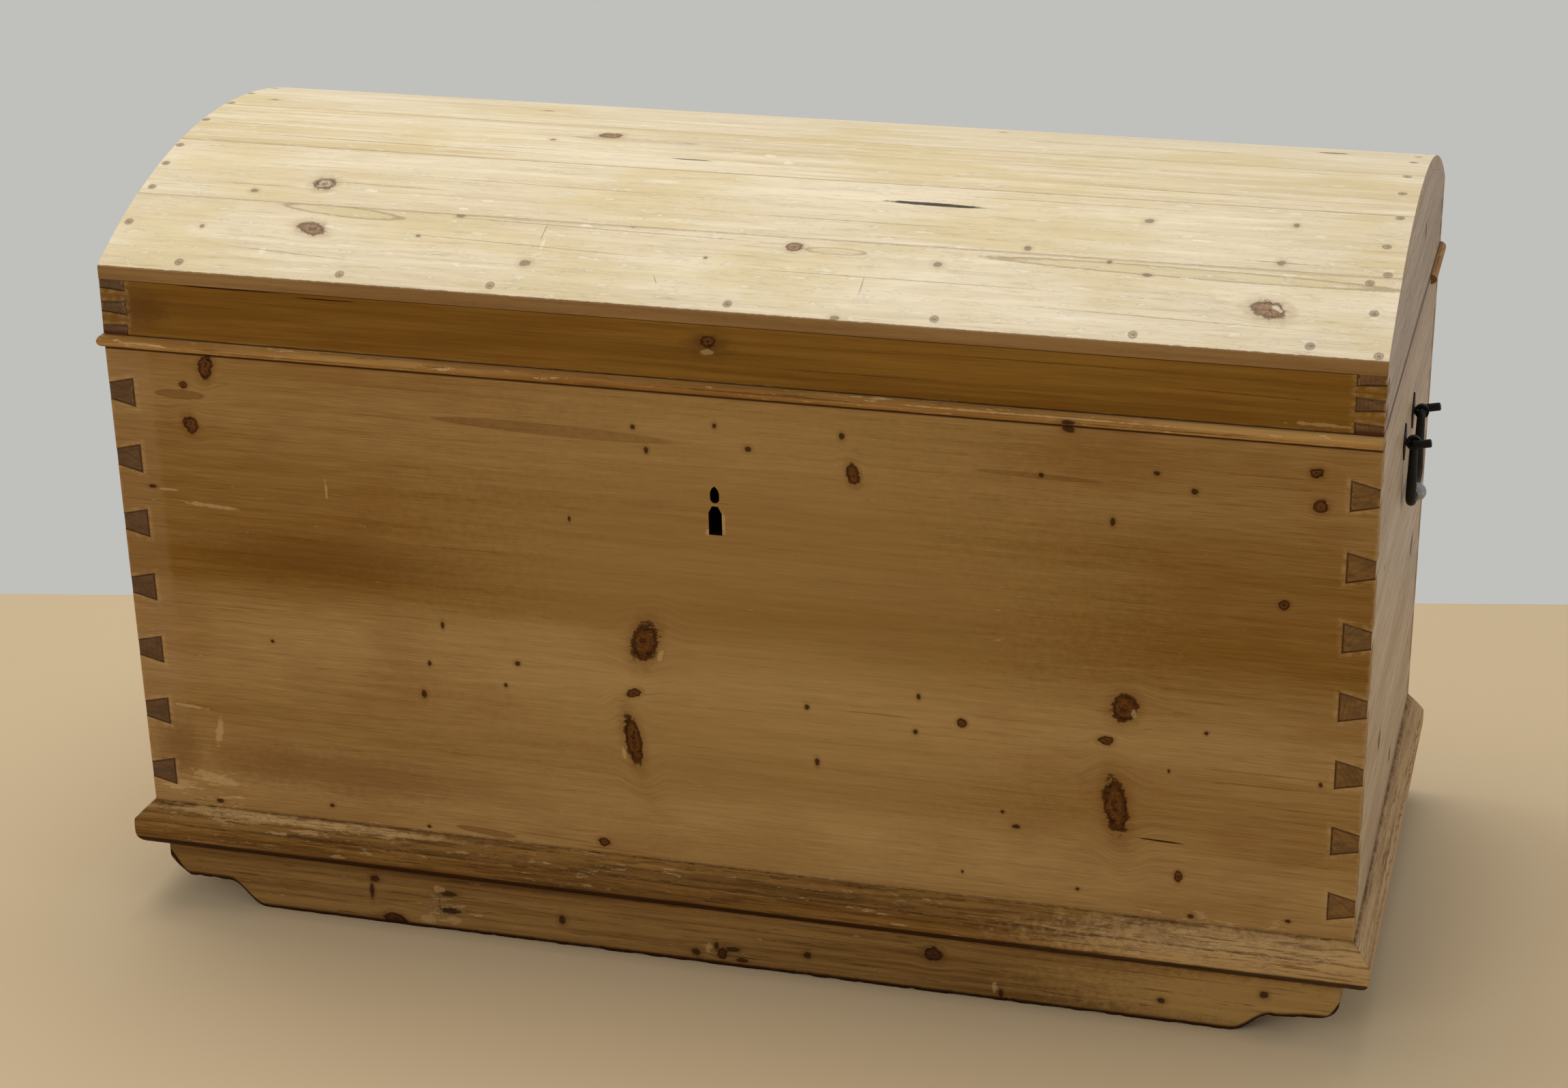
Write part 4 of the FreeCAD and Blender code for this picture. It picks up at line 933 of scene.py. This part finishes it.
def makeRunner(name, outward, seed):
    top, thick = runnerShape["top"], runnerShape["thick"]
    rand = random.Random(runnerShape["seed"] + (0 if outward < 0 else 1))
    chips = makeChips(rand, runnerShape["chipped"], runnerShape)
    ledge = runnerShape["sole"] + runnerShape["stepRun"] + runnerShape["ledgeRun"]
    nose = [ledge + runnerShape["nose"] * math.sin(math.radians(angle))
            for angle in (12, 24, 36, 48, 60, 70, 78, 84, 88, 90)]
    places = [-x for x in reversed(nose)] + stationsBetween(-ledge, ledge, runnerShape["station"]) + nose
    face = runnerShape["front"] if outward < 0 else 2 * chest["middle"] - runnerShape["front"]
    rings = []
    for x in places:
        low = runnerUnderside(x)
        worn = 0.5 + 0.9 * max(0.0, rub(x, 1, seed, 0.06) + 0.3) + chipDepth(chips, x)
        worn = min(worn, 0.45 * (top - low))
        section = [(0.0, top), (0.15, top - 0.6)]
        for step in range(1, 9):
            z = top - (top - low - runnerShape["arris"]) * step / 9
            section.append((0.22 * (1 + rub(x, z, seed + 3, 0.09)) + 0.1 * rub(x, z * 3, seed, 0.4), z))
        section += [(0.2 + 0.12 * worn, low + 2.6), (0.35 + 0.35 * worn, low + 1.0 + 0.5 * worn),
                    (0.9 + 0.8 * worn, low + 0.25 + 0.1 * worn), (3.4 + worn, low), (thick - 1.0, low),
                    (thick - 0.2, low + 0.8), (thick, low + 3.0), (thick, top)]
        rings.append([(x, face - outward * depth, z) for depth, z in section])
    pieceFromMesh(name + "_worn", skin(rings), wood[name], "case", name)


makeRunner("front_runner", -1, 31.7)
makeRunner("rear_runner", 1, 44.1)
print("runners worn")

beadShape = {"radius": 6.0, "height": 605.0, "station": 4.0, "wear": 0.3, "steps": 10}


def beadRing(along, seed):
    ring = []
    for step in range(beadShape["steps"] + 1):
        angle = math.pi * (step / beadShape["steps"] - 0.5)
        wear = beadShape["wear"] + 0.45 * rub(along, step, seed, 0.05)
        wear += 0.2 * rub(along, step * 2, seed + 2, 0.25)
        radius = beadShape["radius"] - max(0.0, wear) * (0.4 + 0.6 * math.cos(angle))
        ring.append((radius * math.cos(angle), beadShape["height"] + radius * math.sin(angle)))
    return ring


def makeBeads():
    half, rear = chest["halfLength"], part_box("left_bead")[1][1] / milli
    rings = []
    for along in stationsBetween(-half, half, beadShape["station"]):
        left = max(0.0, -along / half)
        rings.append([(along - left * reach, frontFace(z) - reach, z) for reach, z in beadRing(along, 2.2)])
    pieceFromMesh("front_bead_worn", skin(rings), wood["front_bead"], "case", "front_bead")
    rings = []
    for share in stationsBetween(0, 1, beadShape["station"] / half):
        rings.append([sidePoint(-1, share, rear, reach, z) for reach, z in beadRing(share * half, 7.7)])
    pieceFromMesh("left_bead_worn", skin(rings), wood["left_bead"], "case", "left_bead")


makeBeads()
print("beads worn")


# iron: black forged handles with a pale grey ball on each grip, browner hinges, a paler lock
def forgedIron(place, wear, dark, worn, rust):
    hammer = drawNoise("hammer", place, (5.0, 2.0, 1.0))[0]
    scale = drawNoise("scale", place, (1.0, 7.0, 3.0))[0]
    colour = mix(times(fade(hammer, 0.45, 0.7), wear), dark, worn)
    return {
        "colour": mix(fade(scale, 0.56, 0.75, 0.0, 0.5), colour, rust),
        "roughness": fade(scale, 0.3, 0.7, 0.42, 0.7),
        "height": timesPlus(scale, 0.3, hammer),
    }


ironGroup = makeGroup(forgedIron, vectors="place", numbers="wear", colours="dark worn rust")


def ironMaterial(name, look):
    material = newMaterial(name)
    at = material.node_tree.nodes.new("ShaderNodeTexCoord").outputs
    spot = move("SCALE", at["Object"], scale=1 / milli)
    dark, worn = look["dark"], look["worn"]
    if look["ball"]:
        centre, radius, ballDark, ballPale = look["ball"]
        away = move("LENGTH", move("SUBTRACT", spot, centre))
        onBall = fall(away, radius + 0.2, radius + 0.9)
        dark, worn = mix(onBall, dark, ballDark), mix(onBall, worn, ballPale)
    made = use(ironGroup, place=spot, wear=look["wear"], dark=dark, worn=worn, rust=look["rust"])
    addShader(made["colour"], made["roughness"], made["height"], (0.6, 0.0004), look["shine"],
              look["metallic"])
    return material


bail = {"eyeX": 608.8, "eyeZ": 516.0, "drop": 66.0, "arm": 37.0, "tip": 52.5, "reach": 17.0, "lift": 3.5,
        "rod": 4.0, "armRod": 5.0, "corner": 14.0, "turn": 4.5, "sides": 16, "ballReach": 3.2, "ball": 9.0,
        "ballSides": 24, "ballRings": 15, "ballLines": (5, 9), "lineDepth": 0.975, "thickBelow": 9.0,
        "taper": 12.0}


def ballCentre(side):
    return (side * (bail["eyeX"] + bail["ballReach"]), chest["middle"], bail["eyeZ"] - bail["drop"])


def ballLook(side):
    return dict(handleIron, ball=(ballCentre(side), bail["ball"], tone(150, 150, 154), tone(226, 226, 228)))


handleIron = {"dark": tone(7, 6, 5), "worn": tone(22, 20, 18), "rust": tone(20, 13, 10), "wear": 0.35,
              "metallic": 0.0, "shine": 0.3, "ball": None}
hingeIron = dict(handleIron, dark=tone(46, 38, 32), worn=tone(88, 76, 66), rust=tone(96, 58, 36),
                 wear=0.5, metallic=0.4, shine=0.5)
lockIron = dict(handleIron, dark=tone(62, 54, 47), worn=tone(116, 104, 92), rust=tone(104, 66, 42),
                wear=0.6, metallic=0.5, shine=0.5)
nailIron = dict(handleIron, dark=tone(150, 122, 88), worn=tone(186, 162, 124), rust=tone(112, 82, 54),
                wear=0.7, shine=0.5)
bailIron = {"right_bail": ironMaterial("right_bail_iron", ballLook(1)),
            "left_bail": ironMaterial("left_bail_iron", ballLook(-1))}
ironwork = {"handle": (ironMaterial("handle_iron", handleIron), 0.5, 30),
            "hinge": (ironMaterial("hinge_iron", hingeIron), 0.5, 40),
            "lock": (ironMaterial("lock_iron", lockIron), 0.4, 40)}
for name in nodes:
    if name in bailIron:
        dress(name, bailIron[name])
    for kind, (material, width, angle) in ironwork.items():
        if kind in name:
            dress(name, material)
            softenEdges(name, width, segments=1, angle=angle)
print("iron dressed")


# the bail is one round rod bent square at its corners, with a ball forged on the grip
def bentPath(points, radii, steps=6):
    path = [points[0]]
    for i, radius in enumerate(radii):
        corner = points[i + 1]
        into = (corner - points[i]).normalized()
        out = (points[i + 2] - corner).normalized()
        centre = corner - into * radius + out * radius
        for step in range(steps + 1):
            angle = math.pi / 2 * step / steps
            path.append(centre - out * radius * math.cos(angle) + into * radius * math.sin(angle))
    path.append(points[-1])
    return path


def circle(count):
    return [(math.cos(2 * math.pi * k / count), math.sin(2 * math.pi * k / count)) for k in range(count)]


def tube(path, radii, sides):
    rings = []
    across = (path[1] - path[0]).normalized().orthogonal()
    for i, point in enumerate(path):
        before = path[max(0, i - 1)]
        after = path[min(len(path) - 1, i + 1)]
        ahead = (after - before).normalized()
        across = (across - ahead * across.dot(ahead)).normalized()
        up = ahead.cross(across)
        rings.append([point + (across * cos + up * sin) * radii[i] for cos, sin in circle(sides)])
    return rings


# one half of the bail, from the middle of the grip through the eye to its turned out tip
def halfBail(side, end):
    x, y, top = bail["eyeX"] * side, chest["middle"], bail["eyeZ"]
    low = top - bail["drop"]
    arm, tip = y + end * bail["arm"], y + end * bail["tip"]
    points = [Vector(point) for point in ((x, y, low), (x, arm, low), (x, arm, top), (x, tip, top),
                                          (x + side * bail["reach"], tip, top + bail["lift"]))]
    half = bentPath(points, [bail["corner"], bail["turn"], bail["turn"]])
    last = (half[-1] - half[-2]).normalized()
    return half[:-1] + [half[-1] - last * 1.2, half[-1] - last * 0.4, half[-1]]


def makeBail(side, name, body):
    path = list(reversed(halfBail(side, -1))) + halfBail(side, 1)[1:]
    radii = []
    for i, point in enumerate(path):    # thickest below the eyes, drawn thinner where it turns in them
        below = min(1.0, max(0.0, (bail["eyeZ"] - bail["thickBelow"] - point.z) / bail["taper"]))
        radius = bail["rod"] + (bail["armRod"] - bail["rod"]) * below
        radii.append(radius * (1 + 0.03 * rub(i, side, 3.1, 0.37)))
    for i, share in ((0, 0.62), (1, 0.9), (-1, 0.62), (-2, 0.9)):
        radii[i] = bail["rod"] * share
    mesh = skin(tube(path, radii, bail["sides"]))
    rings = []
    for step in range(bail["ballRings"]):       # the ball, with two turned lines round it
        angle = math.pi * (step + 0.35) / (bail["ballRings"] - 0.3)
        radius = bail["ball"] * (bail["lineDepth"] if step in bail["ballLines"] else 1.0)
        rings.append([Vector(ballCentre(side)) + radius * Vector((cos * math.sin(angle), -math.cos(angle),
                                                                  sin * math.sin(angle)))
                      for cos, sin in circle(bail["ballSides"])])
    pieceFromMesh(name + "_forged", skin(rings, mesh), bailIron[name], body, name, sharp=50)


makeBail(1, "right_bail", "right_handle")
makeBail(-1, "left_bail", "left_handle")
print("bails forged")

# nail heads on the dome, filled and nearly flush, each hammered out of round
nailHeads = {"radius": 2.5, "crown": 0.25, "sunk": 0.3, "sides": 12, "rings": 3, "dents": 0.14, "seed": 5}


def addNailHead(mesh, centre, normal, dents):
    across = normal.orthogonal().normalized()
    up = normal.cross(across)
    top = mesh.verts.new((centre + normal * nailHeads["crown"]) * milli)
    inner = None
    for step in range(1, nailHeads["rings"] + 1):
        share = step / nailHeads["rings"]
        height = nailHeads["crown"] * (1 - share ** 2) - (nailHeads["sunk"] if share == 1 else 0.0)
        ring = []
        for dent, (cos, sin) in zip(dents, circle(nailHeads["sides"])):
            radius = nailHeads["radius"] * share * (1 + dent * share)
            point = centre + (across * cos + up * sin) * radius + normal * height
            ring.append(mesh.verts.new(point * milli))
        for i in range(len(ring)):
            j = (i + 1) % len(ring)
            mesh.faces.new((inner[i], ring[i], ring[j], inner[j]) if inner else (top, ring[i], ring[j]))
        inner = ring


nailMesh = bmesh.new()
rand = random.Random(nailHeads["seed"])
for look in staves:
    for x, across in look["nails"]:
        y = across + chest["frontRim"]
        centre = Vector((x, y, domeHeight(y)))
        normal = Vector((0, y - chest["middle"], centre.z - chest["domeCentre"])).normalized()
        dents = [rand.uniform(-nailHeads["dents"], nailHeads["dents"]) for i in range(nailHeads["sides"])]
        addNailHead(nailMesh, centre, normal, dents)
pieceFromMesh("lid_nails", nailMesh, ironMaterial("nail_iron", nailIron), "lid")
print("nails set")

# plain floor, pale backdrop seen only from its front, soft studio light
room = {"floor": tone(214, 190, 151), "wall": tone(192, 192, 189), "sky": 0.42, "floorReach": 9000.0,
        "wallFoot": ((-1066.9, 416.4), (671.1, 815.8)), "wallPast": 6000.0, "wallHeight": 4000.0}


def plainMaterial(name, colour):
    material = bpy.data.materials.new(name)
    material.use_nodes = True
    shader = material.node_tree.nodes["Principled BSDF"]
    shader.inputs["Base Color"].default_value = colour
    shader.inputs["Roughness"].default_value = 0.9
    return material


# the backdrop shows its own colour to the camera and lights nothing
def backdropMaterial(name, colour):
    material = newMaterial(name)
    made = material.node_tree.nodes
    shown = made.new("ShaderNodeEmission")
    shown.inputs["Color"].default_value = colour
    clear = made.new("ShaderNodeBsdfTransparent")
    facing = made.new("ShaderNodeNewGeometry")
    mixed = addNode("MixShader", (facing.outputs["Backfacing"], shown.outputs[0], clear.outputs[0]))
    addNode("OutputMaterial", {"Surface": mixed.outputs[0]})
    return material


def stagePlane(name, corners, material):
    data = bpy.data.meshes.new(name)
    data.from_pydata([Vector(corner) * milli for corner in corners], [], [(0, 1, 2, 3)])
    data.materials.append(material)
    plane = bpy.data.objects.new(name, data)
    bpy.context.scene.collection.objects.link(plane)
    return plane


reach = room["floorReach"]
stagePlane("floor", [(-reach, -reach, 0), (reach, -reach, 0), (reach, reach, 0), (-reach, reach, 0)],
           plainMaterial("floor_paint", room["floor"]))
wallLeft, wallRight = [Vector((x, y, 0)) for x, y in room["wallFoot"]]
past = (wallRight - wallLeft).normalized() * room["wallPast"]
rise = Vector((0, 0, room["wallHeight"]))
low = [wallLeft - past, wallRight + past]
wall = stagePlane("wall", low + [low[1] + rise, low[0] + rise], backdropMaterial("wall_paint", room["wall"]))
wall.visible_shadow = False
wall.visible_diffuse = False

world = bpy.data.worlds.new("studio")
bpy.context.scene.world = world
world.use_nodes = True
sky = world.node_tree.nodes["Background"]
sky.inputs["Color"].default_value = tone(238, 239, 240)
sky.inputs["Strength"].default_value = room["sky"]

lamps = [
    {"name": "topLight", "at": (-0.5, 0.75, 3.2), "aim": (0, 0, 0.5), "size": (3.0, 2.0), "power": 60.0,
     "colour": (1.0, 0.985, 0.955)},
    {"name": "frontFill", "at": (-1.4, -3.8, 1.9), "aim": (0, -0.2, 0.4), "size": (2.6, 2.0), "power": 42.0,
     "colour": (1.0, 0.98, 0.95)},
    {"name": "sideFill", "at": (3.4, -0.4, 1.6), "aim": (0.4, 0, 0.4), "size": (2.0, 2.0), "power": 18.0,
     "colour": (0.97, 0.98, 1.0)},
]
for lamp in lamps:
    light = bpy.data.lights.new(lamp["name"], "AREA")
    light.shape = "RECTANGLE"
    light.size, light.size_y = lamp["size"]
    light.energy = lamp["power"]
    light.color = lamp["colour"]
    holder = bpy.data.objects.new(lamp["name"], light)
    holder.location = lamp["at"]
    aim = Vector(lamp["aim"]) - Vector(lamp["at"])
    holder.rotation_euler = aim.to_track_quat("-Z", "Y").to_euler()
    bpy.context.scene.collection.objects.link(holder)

# camera at the photograph's angle
view = {"at": (0.7913, -2.9100, 1.5580), "yaw": -0.271, "pitch": 0.385, "roll": -0.011, "lens": 73.41}
cameraData = bpy.data.cameras.new("camera")
cameraData.sensor_width = 36.0
cameraData.lens = view["lens"]
camera = bpy.data.objects.new("camera", cameraData)
yaw, pitch, roll = view["yaw"], view["pitch"], view["roll"]
ahead = Vector((math.sin(yaw) * math.cos(pitch), math.cos(yaw) * math.cos(pitch), -math.sin(pitch)))
level = Vector((math.cos(yaw), -math.sin(yaw), 0))
upward = level.cross(ahead)
right = level * math.cos(roll) + upward * math.sin(roll)
top = upward * math.cos(roll) - level * math.sin(roll)
camera.matrix_world = Matrix.Translation(view["at"]) @ Matrix((right, top, -ahead)).transposed().to_4x4()
bpy.context.scene.collection.objects.link(camera)
bpy.context.scene.camera = camera
bpy.context.scene.view_settings.view_transform = "Standard"
print("stage and camera set")
